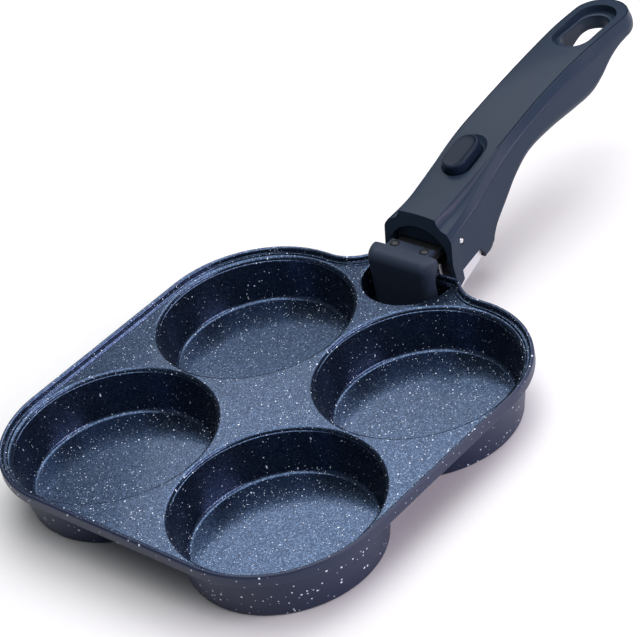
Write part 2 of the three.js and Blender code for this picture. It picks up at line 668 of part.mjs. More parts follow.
function supportBracket() {
  const [rearY, rearZ] = BRACKET_REAR;
  const lower = (y) => rearZ - (rearY - y) * BRACKET_SLOPE;
  const upper = (y) => lower(y) + BRACKET_T * Math.hypot(1, BRACKET_SLOPE);
  const face = FIT;
  const back = FIT + BRACKET_T;
  const plate = outline([
    [face, BRACKET_PLATE_TOP_Z],
    [face, lower(face) + BRACKET_BEND],
    [face + BRACKET_BEND, lower(face + BRACKET_BEND)],
    [BRACKET_FLANGE_FRONT + BRACKET_T, lower(BRACKET_FLANGE_FRONT + BRACKET_T)],
    [BRACKET_FLANGE_FRONT + BRACKET_T, upper(BRACKET_FLANGE_FRONT + BRACKET_T)],
    [back, upper(back)],
    [back, BRACKET_PLATE_TOP_Z],
  ]);
  const floor = outline([
    [BRACKET_FLANGE_FRONT, lower(BRACKET_FLANGE_FRONT)],
    [rearY, rearZ],
    [rearY, upper(rearY)],
    [BRACKET_FLANGE_FRONT, upper(BRACKET_FLANGE_FRONT)],
  ]);
  const [top0, top1] = BRACKET_FLANGE_TOP;
  const flange = outline([
    [BRACKET_FLANGE_FRONT, lower(BRACKET_FLANGE_FRONT)],
    [rearY, rearZ],
    [rearY + BRACKET_T, rearZ + 2 * BRACKET_T],
    [rearY, rearZ + 5 * BRACKET_T],
    [top1, BRACKET_FLANGE_TOP_Z],
    [top0, BRACKET_FLANGE_TOP_Z],
    [top0, BRACKET_NOTCH_Z],
    [BRACKET_FLANGE_FRONT, upper(BRACKET_FLANGE_FRONT) + BRACKET_T],
  ]);
  const inner = BRACKET_HALF - BRACKET_T;
  const body = join(
    across(plate, -BRACKET_PLATE_HALF, BRACKET_PLATE_HALF),
    across(floor, -BRACKET_HALF, BRACKET_HALF),
    across(flange, inner, BRACKET_HALF),
    across(flange, -BRACKET_HALF, -inner),
  );
  return cut(body, bar(PIN_AT, PIN_R + FIT, -DECK_Z, DECK_Z));
}

function guideBlock() {
  const outer = BRACKET_HALF - BRACKET_T - FIT;
  const slot = STRIP_HALF + FIT;
  const mouth = slot - GUIDE_LIP;
  const top = NOSE_CEILING_Z - FIT;
  const section = outline([
    [-outer, GUIDE_FOOT_Z], [-mouth, GUIDE_FOOT_Z], [-mouth, STRIP_Z - FIT], [-slot, STRIP_Z - FIT],
    [-slot, STRIP_TOP_Z + FIT], [slot, STRIP_TOP_Z + FIT], [slot, STRIP_Z - FIT], [mouth, STRIP_Z - FIT],
    [mouth, GUIDE_FOOT_Z], [outer, GUIDE_FOOT_Z], [outer, top], [-outer, top],
  ]);
  return cut(along(section, ...GUIDE_SPAN), bar(PIN_AT, PIN_R + FIT, -DECK_Z, DECK_Z));
}

// Where the trigger's finger crosses the strip, at rest
const fingerLean = THREE.MathUtils.degToRad(TRIGGER_TURN / 2);
const fingerRise = STRIP_Z + STRIP_T / 2 - TRIGGER_AT[1];
const fingerAt = TRIGGER_AT[0] + fingerRise * Math.tan(fingerLean);

function jawCarriage() {
  const hookEnd = STRIP_TOP_Z - HOOK_DROP - STRIP_T;
  const slide = STRIP_T * Math.tan(Math.atan2(STEP_RISE, STEP_RUN) / 2);
  const profile = outline([
    [HOOK_FRONT, hookEnd],
    [HOOK_BACK, hookEnd],
    [HOOK_BACK, STRIP_Z],
    [STEP_FROM + slide, STRIP_Z],
    [STEP_FROM + slide + STEP_RUN, TAIL_Z],
    [TAIL_END, TAIL_Z],
    [TAIL_END, TAIL_Z + STRIP_T],
    [STEP_FROM + STEP_RUN, TAIL_Z + STRIP_T],
    [STEP_FROM, STRIP_TOP_Z],
    [HOOK_FRONT + STRIP_BEND, STRIP_TOP_Z],
    [HOOK_FRONT, STRIP_TOP_Z - STRIP_BEND],
  ]);
  const tailFrom = STEP_FROM + slide + STEP_RUN;
  const high = TAIL_Z + STRIP_T + FIT;
  const sideCuts = [[STRIP_WAIST_FROM, STRIP_WAIST_HALF], [tailFrom, TAIL_HALF]].flatMap(([from, half]) => [
    block([half, 2 * STRIP_HALF], [from, TAIL_END + FIT], [0, high]),
    block([-2 * STRIP_HALF, -half], [from, TAIL_END + FIT], [0, high]),
  ]);
  const lugWindow = block([-LUG_HALF, LUG_HALF], [LUG_AT - LUG_DROP, LUG_AT], [STRIP_Z - FIT, high]);
  const slotHalf = FINGER_R / Math.cos(fingerLean) + (STRIP_T / 2) * Math.tan(fingerLean) + FIT;
  const slotSides = [-FINGER_HALF - FIT, FINGER_HALF + FIT];
  const slot = block(slotSides, [fingerAt - slotHalf, fingerAt + slotHalf], [0, high]);
  const rivetHoles = [-RIVET_X, RIVET_X].map((x) => rivet(FIT).translate([x, RIVET_AT, 0]));
  const lug = block([-LUG_HALF, LUG_HALF], [LUG_AT, LUG_AT + LUG_T], [STRIP_Z - LUG_DROP, STRIP_TOP_Z]);
  const strip = join(across(profile, -STRIP_HALF, STRIP_HALF), lug);
  return cut(strip, ...sideCuts, lugWindow, slot, ...rivetHoles);
}

function rivet(grow) {
  const headZ = STRIP_TOP_Z + FIT + BOOT_FLANGE_T + FIT;
  const shank = RIVET_R + grow;
  if (grow > 0) {
    const ends = [STRIP_Z - FIT, headZ + FIT];
    return lathe([[0, ends[0]], [shank, ends[0]], [shank, ends[1]], [0, ends[1]]], PIN_SEGMENTS);
  }
  const domeR = (RIVET_HEAD_R ** 2 + RIVET_HEAD_H ** 2) / (2 * RIVET_HEAD_H);
  const half = Math.asin(RIVET_HEAD_R / domeR);
  const dome = arcPoints(0, headZ + RIVET_HEAD_H - domeR, domeR, Math.PI / 2 - half, Math.PI / 2, 3);
  return lathe([[0, STRIP_Z], [shank, STRIP_Z], [shank, headZ], ...dome], PIN_SEGMENTS);
}

function jawBoot() {
  const foot = BOOT_TOP_Z - BOOT_DROP;
  const haunchZ = BOOT_TOP_Z - BOOT_BACK_H - BOOT_HAUNCH_H;
  const brow = [BOOT_FRONT + BOOT_BROW_R, BOOT_TOP_Z - BOOT_BROW_R];
  const side = outline([
    [BOOT_FRONT, foot],
    [BOOT_PLATE_BACK, foot],
    [BOOT_PLATE_BACK, haunchZ],
    [BOOT_BACK, BOOT_TOP_Z - BOOT_BACK_H],
    [BOOT_BACK, BOOT_TOP_Z],
    ...arcPoints(...brow, BOOT_BROW_R, Math.PI / 2, Math.PI, ARC_SEGMENTS),
  ]);
  const r = BOOT_FRONT_R;
  const plan = new THREE.Shape();
  plan.moveTo(BOOT_HALF, BOOT_FLANGE_END);
  plan.lineTo(-BOOT_HALF, BOOT_FLANGE_END);
  plan.absarc(r - BOOT_HALF, BOOT_FRONT + r, r, Math.PI, 1.5 * Math.PI, false);
  plan.absarc(BOOT_HALF - r, BOOT_FRONT + r, r, 1.5 * Math.PI, 2 * Math.PI, false);
  const shell = across(side, -BOOT_HALF, BOOT_HALF).intersect(upward(plan, foot - FIT, BOOT_TOP_Z + FIT));
  const strip = STRIP_HALF + FIT;
  const flangeZ = STRIP_TOP_Z + FIT;
  const stripRoom = block([-strip, strip], [BOOT_PLATE_BACK, BOOT_FLANGE_END + FIT], [foot - FIT, flangeZ]);
  const flangeSpan = [BOOT_BACK - BOOT_FLANGE_ROOT, BOOT_FLANGE_END];
  const flange = block([-STRIP_HALF, STRIP_HALF], flangeSpan, [flangeZ, flangeZ + BOOT_FLANGE_T]);
  const rivetHoles = [-RIVET_X, RIVET_X].map((x) => rivet(FIT).translate([x, RIVET_AT, 0]));
  return cut(join(cut(shell, stripRoom), flange), ...rivetHoles);
}

const jawPad = () => block([-PAD_HALF, PAD_HALF], [PAD_FACE - PAD_T, PAD_FACE], PAD_SPAN);

function trigger() {
  const [y, z] = TRIGGER_AT;
  const lever = new THREE.Shape();
  lever.absarc(y, z, TRIGGER_HUB_R, 0.5 * Math.PI, 1.6 * Math.PI, false);
  lever.quadraticCurveTo(TAB_FRONT[0] - TRIGGER_HUB_R, TAB_FRONT[1] + TRIGGER_HUB_R, ...TAB_FRONT);
  lever.quadraticCurveTo(TAB_FRONT[0] + 1.5, TAB_TIP[1], ...TAB_TIP);
  lever.quadraticCurveTo(TAB_REAR[0], TAB_TIP[1], ...TAB_REAR);
  lever.quadraticCurveTo(TAB_REAR[0] - 1.2, (TAB_REAR[1] + TAB_TOP[1]) / 2, ...TAB_TOP);
  const lean = Math.PI / 2 - fingerLean;
  const tip = [y + FINGER_L * Math.cos(lean), z + FINGER_L * Math.sin(lean)];
  const finger = new THREE.Shape();
  finger.absarc(...tip, FINGER_R, lean - Math.PI / 2, lean + Math.PI / 2, false);
  finger.absarc(y, z, FINGER_R, lean + Math.PI / 2, lean + 1.5 * Math.PI, false);
  const body = join(across(lever, -TRIGGER_HALF, TRIGGER_HALF), across(finger, -FINGER_HALF, FINGER_HALF));
  return cut(body, bar(TRIGGER_AT, PIN_R + FIT, -DECK_Z, DECK_Z));
}

function releaseButton() {
  const cap = new THREE.ExtrudeGeometry(
    stadium(BUTTON_HALF - BUTTON_EDGE_R, BUTTON_HALF_L - BUTTON_EDGE_R),
    {
      depth: BUTTON_SKIRT + BUTTON_PROUD - BUTTON_EDGE_R,
      bevelSize: BUTTON_EDGE_R,
      bevelThickness: BUTTON_EDGE_R,
      bevelSegments: 3,
      curveSegments: ARC_SEGMENTS,
    },
  );
  const sides = [-BUTTON_HALF_L, BUTTON_HALF_L];
  const ends = [-2 * BUTTON_HALF_L, 2 * BUTTON_HALF_L];
  const underCut = block(sides, ends, [-2 * BUTTON_WELL, -BUTTON_SKIRT]);
  const hollowTop = BUTTON_PROUD - BUTTON_SHELL - BUTTON_DISH_DEPTH;
  const hollowShape = stadium(BUTTON_HALF - BUTTON_SHELL, BUTTON_HALF_L - BUTTON_SHELL);
  const hollow = upward(hollowShape, -2 * BUTTON_WELL, hollowTop);
  const dish = new THREE.CylinderGeometry(BUTTON_DISH_R, BUTTON_DISH_R, 4 * BUTTON_HALF, 4 * CUP_SEGMENTS);
  const dishZ = BUTTON_PROUD - BUTTON_DISH_DEPTH + BUTTON_DISH_R;
  const dishTool = solid(dish.rotateZ(Math.PI / 2).translate(0, 0, dishZ));
  const shell = cut(solid(cap.translate(0, 0, -BUTTON_SKIRT)), underCut, hollow, dishTool);
  const stemTop = buttonZ + hollowTop;
  const barbZ = GEAR_BAY_CEILING_Z - FIT;
  const stem = outline([
    [stemRear(STEM_END_Z) - STEM_T, STEM_END_Z],
    [stemRear(STEM_END_Z), STEM_END_Z],
    [stemRear(stemTop), stemTop],
    [stemRear(stemTop) - STEM_T, stemTop],
    [stemRear(barbZ) - STEM_T, barbZ],
    [stemRear(barbZ) - STEM_T - BARB, barbZ],
  ]);
  return join(placed(shell, buttonPlane), across(stem, -STEM_HALF, STEM_HALF));
}

function lockPlate() {
  const plate = block([-LOCK_HALF, LOCK_HALF], [-LOCK_T / 2, LOCK_T / 2], [0, LOCK_TOP]);
  const knuckle = bar(LOCK_AT, LOCK_KNUCKLE_R, -LOCK_HALF, LOCK_HALF);
  const leaning = placed(plate, new THREE.Matrix4().makeRotationX(LOCK_LEAN).setPosition(0, ...LOCK_AT));
  const wide = TAIL_HALF + LOCK_GAP;
  const tailLevels = [TAIL_Z - LOCK_GAP, TAIL_Z + STRIP_T + LOCK_GAP];
  const tailRoom = block([-wide, wide], [0, 2 * LOCK_AT[0]], tailLevels);
  return cut(join(leaning, knuckle), tailRoom, bar(LOCK_AT, LOCK_PIN_R + FIT / 2, -DECK_Z, DECK_Z));
}

// Springs between their seats
function jawSpring() {
  const from = FIT + BRACKET_T + FIT;
  return coil(JAW_SPRING, LUG_AT - FIT - from).rotateX(-Math.PI / 2).translate(0, from, JAW_SPRING.z);
}

function buttonSpring() {
  const from = FIT - BUTTON_WELL;
  const to = BUTTON_PROUD - BUTTON_SHELL - BUTTON_DISH_DEPTH - FIT;
  return coil(BUTTON_SPRING, to - from).translate(0, BUTTON_SPRING.at, from).applyMatrix4(buttonPlane);
}

function lockSpring() {
  const lean = (LOCK_SPRING.z + LOCK_SPRING.r - LOCK_AT[1]) * Math.tan(LOCK_LEAN);
  const spare = 2 * LOCK_SPRING.r * Math.tan(LOCK_LEAN);
  const from = LOCK_AT[0] - lean + LOCK_T / 2 / Math.cos(LOCK_LEAN) + spare + FIT;
  const wire = coil(LOCK_SPRING, GEAR_BAY[1] - FIT - from);
  return wire.rotateX(-Math.PI / 2).translate(0, from, LOCK_SPRING.z);
}

// The assembly
const object = new THREE.Group();
object.position.y = -ORIGIN_Y;
const handle = new THREE.Group();
handle.position.set(0, CLAMP_Y, DECK_Z);
object.add(handle);

function part(parent, name, geometry, material) {
  const mesh = new THREE.Mesh(geometry, material);
  mesh.name = name;
  parent.add(mesh);
}

part(object, 'pan_body', surface(panBody()), coatedAluminium());
part(handle, 'handle_body', surface(handleBody()), handlePlastic());
part(handle, 'base_cover', surface(baseCover()), coverPlastic());
SCREW_AT.forEach((y, i) => {
  part(handle, `cover_screw_${i + 1}`, surface(placed(screwBody(0), onUnderside(y))), brightSteel());
});
part(handle, 'support_bracket', surface(supportBracket()), brightSteel());
part(handle, 'bracket_pin', surface(bar(PIN_AT, PIN_R, -PIN_HALF, PIN_HALF)), brightSteel());
part(handle, 'guide_block', surface(guideBlock()), coverPlastic());
part(handle, 'jaw_carriage', surface(jawCarriage()), blackSteel());
part(handle, 'jaw_boot', surface(jawBoot()), blackRubber());
part(handle, 'jaw_pad', surface(jawPad()), blackRubber());
[-RIVET_X, RIVET_X].forEach((x, i) => {
  part(handle, `jaw_rivet_${i + 1}`, surface(rivet(0).translate([x, RIVET_AT, 0])), blackSteel());
});
part(handle, 'jaw_spring', jawSpring(), brightSteel());
part(handle, 'trigger', surface(trigger()), handlePlastic());
const triggerPin = bar(TRIGGER_AT, PIN_R, -TRIGGER_PIN_HALF, TRIGGER_PIN_HALF);
part(handle, 'trigger_pin', surface(triggerPin), brightSteel());
part(handle, 'release_button', surface(releaseButton()), handlePlastic());
part(handle, 'button_spring', buttonSpring(), brightSteel());
part(handle, 'lock_plate', surface(lockPlate()), blackSteel());
part(handle, 'lock_pin', surface(bar(LOCK_AT, LOCK_PIN_R, -LOCK_PIN_HALF, LOCK_PIN_HALF)), brightSteel());
part(handle, 'lock_spring', lockSpring(), brightSteel());

export default object;
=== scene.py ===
"""Four-cup egg pan with a clamp-on handle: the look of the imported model, laid out as an add-on."""

from contextlib import contextmanager
from math import acos, cos, pi, radians, sin, sqrt

import bmesh
import bpy
from bpy.props import FloatProperty, FloatVectorProperty, IntProperty, PointerProperty
from mathutils import Matrix, Vector


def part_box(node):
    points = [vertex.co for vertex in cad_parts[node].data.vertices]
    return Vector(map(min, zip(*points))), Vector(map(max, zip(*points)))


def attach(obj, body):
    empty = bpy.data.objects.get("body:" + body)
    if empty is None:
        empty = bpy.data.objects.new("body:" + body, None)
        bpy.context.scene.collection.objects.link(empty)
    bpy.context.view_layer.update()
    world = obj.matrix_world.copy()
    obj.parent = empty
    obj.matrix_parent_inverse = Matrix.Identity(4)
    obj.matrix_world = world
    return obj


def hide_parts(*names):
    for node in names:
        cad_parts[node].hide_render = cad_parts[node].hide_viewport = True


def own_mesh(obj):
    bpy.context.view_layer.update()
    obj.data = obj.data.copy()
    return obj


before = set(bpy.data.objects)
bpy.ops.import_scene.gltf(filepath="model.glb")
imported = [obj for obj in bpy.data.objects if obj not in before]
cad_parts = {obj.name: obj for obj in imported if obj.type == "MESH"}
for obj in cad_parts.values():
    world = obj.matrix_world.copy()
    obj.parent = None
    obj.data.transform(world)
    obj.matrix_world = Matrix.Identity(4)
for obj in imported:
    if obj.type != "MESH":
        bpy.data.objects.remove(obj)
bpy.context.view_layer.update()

bl_info = {
    "name": "Egg pan dresser",
    "version": (1, 0, 0),
    "blender": (4, 5, 0),
    "location": "3D View > Sidebar > Egg pan",
    "description": "Dresses the packed egg pan: coated pan, moulded handle, clamp and studio stage",
    "category": "Object",
}

MM = 0.001
QUARTER = pi / 2
FLOAT = "NodeSocketFloat"

# Pan, in millimetres: cups, deck, rim and the pocket behind the clamp wall
CUP_MOUTH_R = 45
CUP_FOOT_R = 41
CUP_DEPTH = 20.5
CUP_WALL = 2.2
CUP_WEB = 3.2
CUP_LIP_R = 1.5
CUP_FLOOR_FILLET = 2.0
LIP_STEP = (0.35, 0.22)
BASE_T = 4.5
BASE_EDGE_R = 1.5
SKIRT_FLARE_R = 3.4
BASE_GROOVE_R = (8, 14, 20, 26, 32)
BASE_GROOVE = ((-0.6, 0), (-0.25, 0.25), (0.25, 0.25), (0.6, 0))
EDGE_MARGIN = 5.4
DECK_T = 2.4
DECK_EDGE_R = 0.8
DECK_INSET = 6
RIM_H = 3
RIM_W = 2.2
LEDGE_W = 1.1
LEDGE_H = 0.9
LEDGE_DRAFT = 0.3
LEDGE_ROUNDS = (0.35, 0.35, 0.3)
NECK_OUT = 8.5
NECK_SHOULDER_R = 6
NECK_FILLET_R = 20
POCKET_R = 22.5
POCKET_DEPTH = 15.5
POCKET_WALL = 2.5
POCKET_FLOOR_T = 2.5
POCKET_LIP_R = 0.8
CLAMP_WALL_T = 3.8
FIT = 0.3
APART = 0.02

DECK_Z = BASE_T + CUP_DEPTH
CUP_DRAFT = (CUP_MOUTH_R - CUP_FOOT_R) / CUP_DEPTH
CUP_OFFSET = CUP_MOUTH_R + CUP_WEB / 2
CORNER_R = CUP_MOUTH_R + EDGE_MARGIN
PAN_HALF = CUP_OFFSET + CORNER_R
CLAMP_Y = PAN_HALF + NECK_OUT
NECK_HALF = POCKET_R + FIT

# Handle, in millimetres from the clamp wall's outer face and the deck. Each section gives its place,
# then half-width and height of top edge, shoulder and side ridge, then half-width, height and radius
# of the underside
SECTIONS = (
    (2, 10.2, 24.6, 17, 19.6, 19.7, 16.2, 19.6, -8, 1.5),
    (16, 10.6, 27.1, 15.7, 21.8, 18.2, 18.6, 18.7, -8, 1.5),
    (28, 11.2, 29.9, 14.8, 25.1, 17.4, 21.4, 17.9, -5.8, 2),
    (34, 11.6, 31.4, 14.5, 27.5, 17.1, 23.7, 17.4, -4.8, 2.5),
    (40, 11.9, 32.9, 14.2, 30.1, 16.8, 26.3, 17, 2.1, 3.5),
    (50, 12.5, 35.4, 13.8, 34.2, 16.4, 30.2, 16.6, 9, 5),
    (60, 12.9, 37.9, 13.3, 37.5, 16.1, 33.4, 16.4, 16.3, 6),
    (72, 12.7, 40.4, 13, 40.1, 16, 36.4, 16.3, 22, 6.5),
    (90, 12.5, 43.6, 12.8, 43.3, 16, 39.8, 16.3, 23.7, 7),
    (110, 12.7, 46.3, 13, 46, 16, 42, 16.3, 23.4, 7),
    (124, 13.1, 47.6, 13.4, 47.3, 16, 42.6, 16.2, 24, 6.5),
    (133, 13.5, 48.2, 13.8, 47.9, 15.9, 42.8, 16, 28.1, 5.5),
    (140, 13.7, 48.5, 13.9, 48.2, 15.8, 43, 15.9, 33.2, 4.5),
    (148, 13.8, 48.6, 14, 48.3, 15.6, 43.4, 15.6, 36.6, 3.5),
    (155.5, 13.8, 48.6, 14, 48.3, 15.5, 43.5, 15.5, 38.1, 3),
)
TOP_CROWN = 0.49
COVE_SAG = 0.16
COVE_STEPS = (0.12, 0.25, 0.4, 0.55, 0.7, 0.85)
SEAM_FROM = 50
SEAM_FULL = 58
SEAM_SHAPE = ((1.0, 0), (0.75, 1), (0.3, 1))
NOSE_FRONT = ((7.3, 27), (3.5, 6), (4.5, -3), (6.5, -9))
MOUTH_DEPTH = 7.5
MOUTH_WEB_T = 1.7
MOUTH_SLOT_TOP_Z = 11.8
MOUTH_SPRING_Z = 8
MOUTH_TOP_Z = 19.8
CHEEK_WINDOW = ((10, -0.8), (25.5, 1.2), (27.4, -2.2), (29.5, -12), (6, -12), (6, -7.4), (10, -5.5))
BODY_HALF_INNER = 16.3
NOSE_CEILING_Z = 16.2
NOSE_HALL_REAR = 28.4
GEAR_BAY = (26, 57)
GEAR_BAY_HALF = 11
GEAR_BAY_CEILING_Z = 25
LOOP_HALF = 7.5
LOOP_SPAN = (128.5, 158)
LOOP_STEP_HALF = 10
LOOP_STEP_SPAN = (124, 163)
LOOP_STEP_DEPTH = 2.6
LOOP_LIP_R = 0.5
LOOP_LIP_SAG = 0.15
LOOP_GROOVE = 0.7
LOOP_GROOVE_END = 0.92
LOOP_BEAD = (0.34, 0.64)
LOOP_WALL_FOOT = 0.4
LOOP_RELIEF = 1.5
LOOP_RELIEF_Z = 41.3
LOOP_RELIEF_EDGE = 0.8
LOOP_ABOVE = 20
COVER_SPAN = (48.6, 100)
COVER_T = 2.2
COVER_HALF = 9.5
PIN_AT = (13.2, 13)
PIN_R = 1.5
PIN_EDGE = 0.45
SCREW_EDGE = 0.15
FAR = 60

# Release button, in millimetres
BUTTON_AT = 43.8
BUTTON_TILT = radians(14)
BUTTON_HALF = 6
BUTTON_HALF_L = 11
BUTTON_PROUD = 4.4
BUTTON_SKIRT = 1.8
BUTTON_FOOT_EDGE = 0.25
BUTTON_EDGE_R = 1
BUTTON_BROW = 0.15
BUTTON_DISH_DEPTH = 0.4
BUTTON_DISH_POWER = 6
BUTTON_DISH_STEPS = (0.0, 0.06, 0.12, 0.2, 0.35, 0.5, 0.7, 0.9)
BUTTON_GAP = 0.4
BUTTON_WELL = 5.2
SCOOP_DEPTH = 1.6
SCOOP_FLARE = 3
SCOOP_SHIFT = 2
SCOOP_STEPS = (0.15, 0.3, 0.45, 0.6, 0.8, 1.0)

# Clamp jaw boot, in millimetres
BOOT_HALF = 18
BOOT_FRONT = -13.3
BOOT_PLATE_BACK = -8.8
BOOT_TOP_Z = 14
BOOT_DROP = 27.5
BOOT_END_DROP = 0.8
BOOT_END_T = 0.4
BOOT_FOOT_EDGE = (0.2, 0.6)
BOOT_BROW_R = 4.5
BOOT_BROW_LEAST = 1
BOOT_FRONT_R = 5
BOOT_BACK = -4.2
BOOT_BACK_H = 3.5
BOOT_OVERLAP = 1
BOOT_HAUNCH_H = 6
BOOT_FLANGE_END = 1.5
BOOT_FLANGE_T = 2
STRIP_HALF = 12
STRIP_TOP_Z = 11
STRIP_T = 2.5
RIVET_X = 8.5
RIVET_AT = -1.4
RIVET_R = 1.5
RIVET_HEAD_R = 2.2
RIVET_HEAD_H = 0.7
RIVET_EDGE = 0.15

# Springs, in millimetres: coil radius, wire radius, turns, and the share of its length that a spring
# keeps when its joint is at its end
JAW_SPRING = (3.7, 0.55, 8, 0.77)
BUTTON_SPRING = (2.6, 0.35, 4, 0.53)
LOCK_SPRING = (1.8, 0.3, 5, 0.86)

# Coating and grain: specks give cells per metre, size in their cell and share of cells with a speck
FLAKES_PER_METRE = 2300.0
FLAKE_CONTRAST = 3.0
SPECK_SKEW = 2.0
SPECK_LEAST = 0.3
SPECK_CORE = 0.7
COATING_SPECKS = ((270.0, 0.14, 0.16), (520.0, 0.21, 0.25), (1050.0, 0.29, 0.42))
COATING_STREAKS = ((500.0, 0.2, 0.3),)
STREAK_STRETCH = (1.0, 1.0, 0.3)
OUTSIDE_SPECKS = ((250.0, 0.17, 0.3), (520.0, 0.31, 0.5))
OUTSIDE_GRAIN = 1800.0
# Painted shade: the cups' walls, a share of the cup's depth about its middle height, get fewer white
# specks than deck and floors, though the coating is the same all over
WALL_SHARE = 0.4
WALL_SHADE_THINNING = 0.5
COATING_METAL = 0.9
TONE_PER_METRE = 45.0
BRUSH_PER_METRE = 3200.0
BRUSH_STRETCH = (1.0, 0.03, 1.0)

# Stage, in metres: floor, sky, and name, direction, distance, size and tint of each light
FLOOR_HALF = 4
FLOOR_TONE_PER_METRE = 6.0
SKY_COLOUR = (0.95, 0.97, 1.0, 1)
SKY_STRENGTH = 0.14
LIGHTS = (
    ("back_softbox", (-0.31, 0.84, 1.28), 1.5, (1.75, 0.95), (1, 1, 1)),
    ("top_softbox", (0.1, -0.1, 1.0), 1.6, (1.6, 1.6), (1, 1, 1)),
    ("side_softbox", (0.93, 0.2, 0.42), 1.4, (0.9, 0.9), (1.0, 0.87, 1.0)),
    ("edge_strip", (0.80, 0.57, 0.2), 1.4, (0.3, 0.4), (1.0, 0.82, 1.0)),
)

# Camera, from the photograph's perspective
CAMERA_AZIMUTH = radians(47.73)
CAMERA_ELEVATION = radians(34.37)
CAMERA_ROLL = radians(13.41)
CAMERA_AIM = Vector((0.0156, -0.0622, 0.0554))
CAMERA_DISTANCE = 1.0
CAMERA_SENSOR = 36

# Facet counts, smallest sizes and angles
CUP_STEPS = 128
CORNER_STEPS = 36
NECK_STEPS = 10
POCKET_STEPS = 40
ROUND_STEPS = 6
EDGE_STEPS = 4
CREASE_STEPS = 3
ROOF_STEPS = 6
FLOOR_STEPS = 8
HANDLE_STEP = 2.0
TAIL_STEPS = 40
LOOP_STEPS = 20
OVAL_STEPS = 16
MOUTH_STEPS = 28
SEAT_STEPS = 24
HOLE_STEPS = 32
PIN_STEPS = 40
DOME_STEPS = 8
BOOT_STEPS = 10
COIL_STEPS = 36
BEVEL_STEPS = 2
NO_SIZE = 0.0001
WELD = 1e-6
ROUND_REACH = 0.45
NORMAL_WEIGHT = 60
FLAT_ANGLE = radians(0.5)
SHARP_ANGLE = radians(32)
BUTTON_SHARP_ANGLE = radians(35)
WIRE_SHARP_ANGLE = radians(60)

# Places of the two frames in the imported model
PAN_LOW, PAN_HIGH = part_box("pan_body")
PAN_PLACE = Matrix.Translation((0, PAN_LOW.y + PAN_HALF * MM, 0)) @ Matrix.Scale(MM, 4)
HANDLE_PLACE = Matrix.Translation((0, PAN_HIGH.y, DECK_Z * MM)) @ Matrix.Scale(MM, 4)


def colour(name, description, default):
    return FloatVectorProperty(
        name=name, description=description, default=default, size=4, subtype="COLOR", min=0, max=1
    )


def length(name, description, default):
    return FloatProperty(
        name=name, description=description, default=default, min=0, unit="LENGTH", precision=5
    )


def power(name, description, default):
    return FloatProperty(name=name, description=description, default=default, min=0, unit="POWER")


class EggPanCoating(bpy.types.PropertyGroup):
    """Finish of the coated pan"""

    flake_dark: colour("Dark flakes", "Darkest flakes of the coating", (0.021, 0.037, 0.075, 1))
    flake_light: colour("Light flakes", "Lightest flakes of the coating", (0.090, 0.141, 0.24, 1))
    outside: colour("Outside", "Paint on the outer walls and the bases", (0.014, 0.023, 0.060, 1))
    speck: colour("Specks", "Sprayed specks", (0.74, 0.83, 0.97, 1))
    lip_round: length("Lip rounding", "Radius of the cups' upper edge", CUP_LIP_R * MM)


class EggPanHandle(bpy.types.PropertyGroup):
    """Finish of the handle and its clamp"""

    plastic: colour("Handle", "Moulded handle plastic", (0.0172, 0.0300, 0.0535, 1))
    button: colour("Button", "Release button plastic", (0.0075, 0.0150, 0.0310, 1))
    cover: colour("Cover", "Underside cover and guide block", (0.020, 0.023, 0.030, 1))
    rubber: colour("Jaw", "Jaw boot and grip pad", (0.023, 0.034, 0.058, 1))
    steel: colour("Steel", "Bright steel pieces", (0.72, 0.72, 0.76, 1))
    black_steel: colour("Black steel", "Blackened steel pieces", (0.025, 0.027, 0.032, 1))
    edge_round: length("Edge rounding", "Rounding of the jaw boot's edges", 0.0004)
    crease_round: length("Crease rounding", "Rounding of the handle's long creases", 0.0013)
    seam_width: length("Seam width", "Width of the seam along the top edge", 0.00055)
    seam_depth: length("Seam depth", "Depth of the seam along the top edge", 0.0006)
    wire_sides: IntProperty(name="Wire sides", description="Facets round a wire", default=12, min=3)


class EggPanStage(bpy.types.PropertyGroup):
    """Floor, lights and lens"""

    floor: colour("Floor", "Pale studio floor", (0.80, 0.80, 0.81, 1))
    back_power: power("Back light", "Softbox opposite the camera", 17.5)
    top_power: power("Top light", "Overhead softbox", 21)
    side_power: power("Side light", "Softbox beside the camera", 11)
    strip_power: power("Strip light", "Low strip light behind the handle", 4)
    lens: FloatProperty(
        name="Lens", description="Focal length of the camera", default=133.8, min=1, unit="CAMERA"
    )


# Lines and rings
def spread(start, end, steps):
    return [start + (end - start) * i / steps for i in range(steps + 1)]


def arc(centre, radius, start, end, steps):
    turn = spread(start, end, steps)
    return [(centre[0] + radius * cos(a), centre[1] + radius * sin(a)) for a in turn]


def rounded(points, radii, steps):
    """Open polyline with its inner corners rounded, each by its own radius"""
    line = [Vector(point) for point in points]
    result = [tuple(line[0])]
    for i, radius in zip(range(1, len(line) - 1), radii):
        before = line[i - 1] - line[i]
        after = line[i + 1] - line[i]
        reach = min(radius, ROUND_REACH * before.length, ROUND_REACH * after.length)
        start = line[i] + before.normalized() * reach
        end = line[i] + after.normalized() * reach
        for t in spread(0, 1, steps):
            result.append(tuple(start * (1 - t) ** 2 + line[i] * 2 * t * (1 - t) + end * t * t))
    result.append(tuple(line[-1]))
    return result


def stadium(half, half_length, steps, middle):
    """Outline with straight sides along its second axis and half-round ends"""
    straight = half_length - half
    front = arc((0, middle + straight), half, 0, pi, steps)
    back = arc((0, middle - straight), half, pi, 2 * pi, steps)
    return front + back


def at_height(line, z):
    return [(x, y, z) for x, y in line]


# Meshes in millimetres
def new_object(name, data):
    obj = bpy.data.objects.new(name, data)
    bpy.context.scene.collection.objects.link(obj)
    return obj


def body_of(name, bm):
    """A new object from a bmesh, with its faces turned outwards"""
    bmesh.ops.recalc_face_normals(bm, faces=bm.faces)
    mesh = bpy.data.meshes.new(name)
    bm.to_mesh(mesh)
    bm.free()
    return new_object(name, mesh)


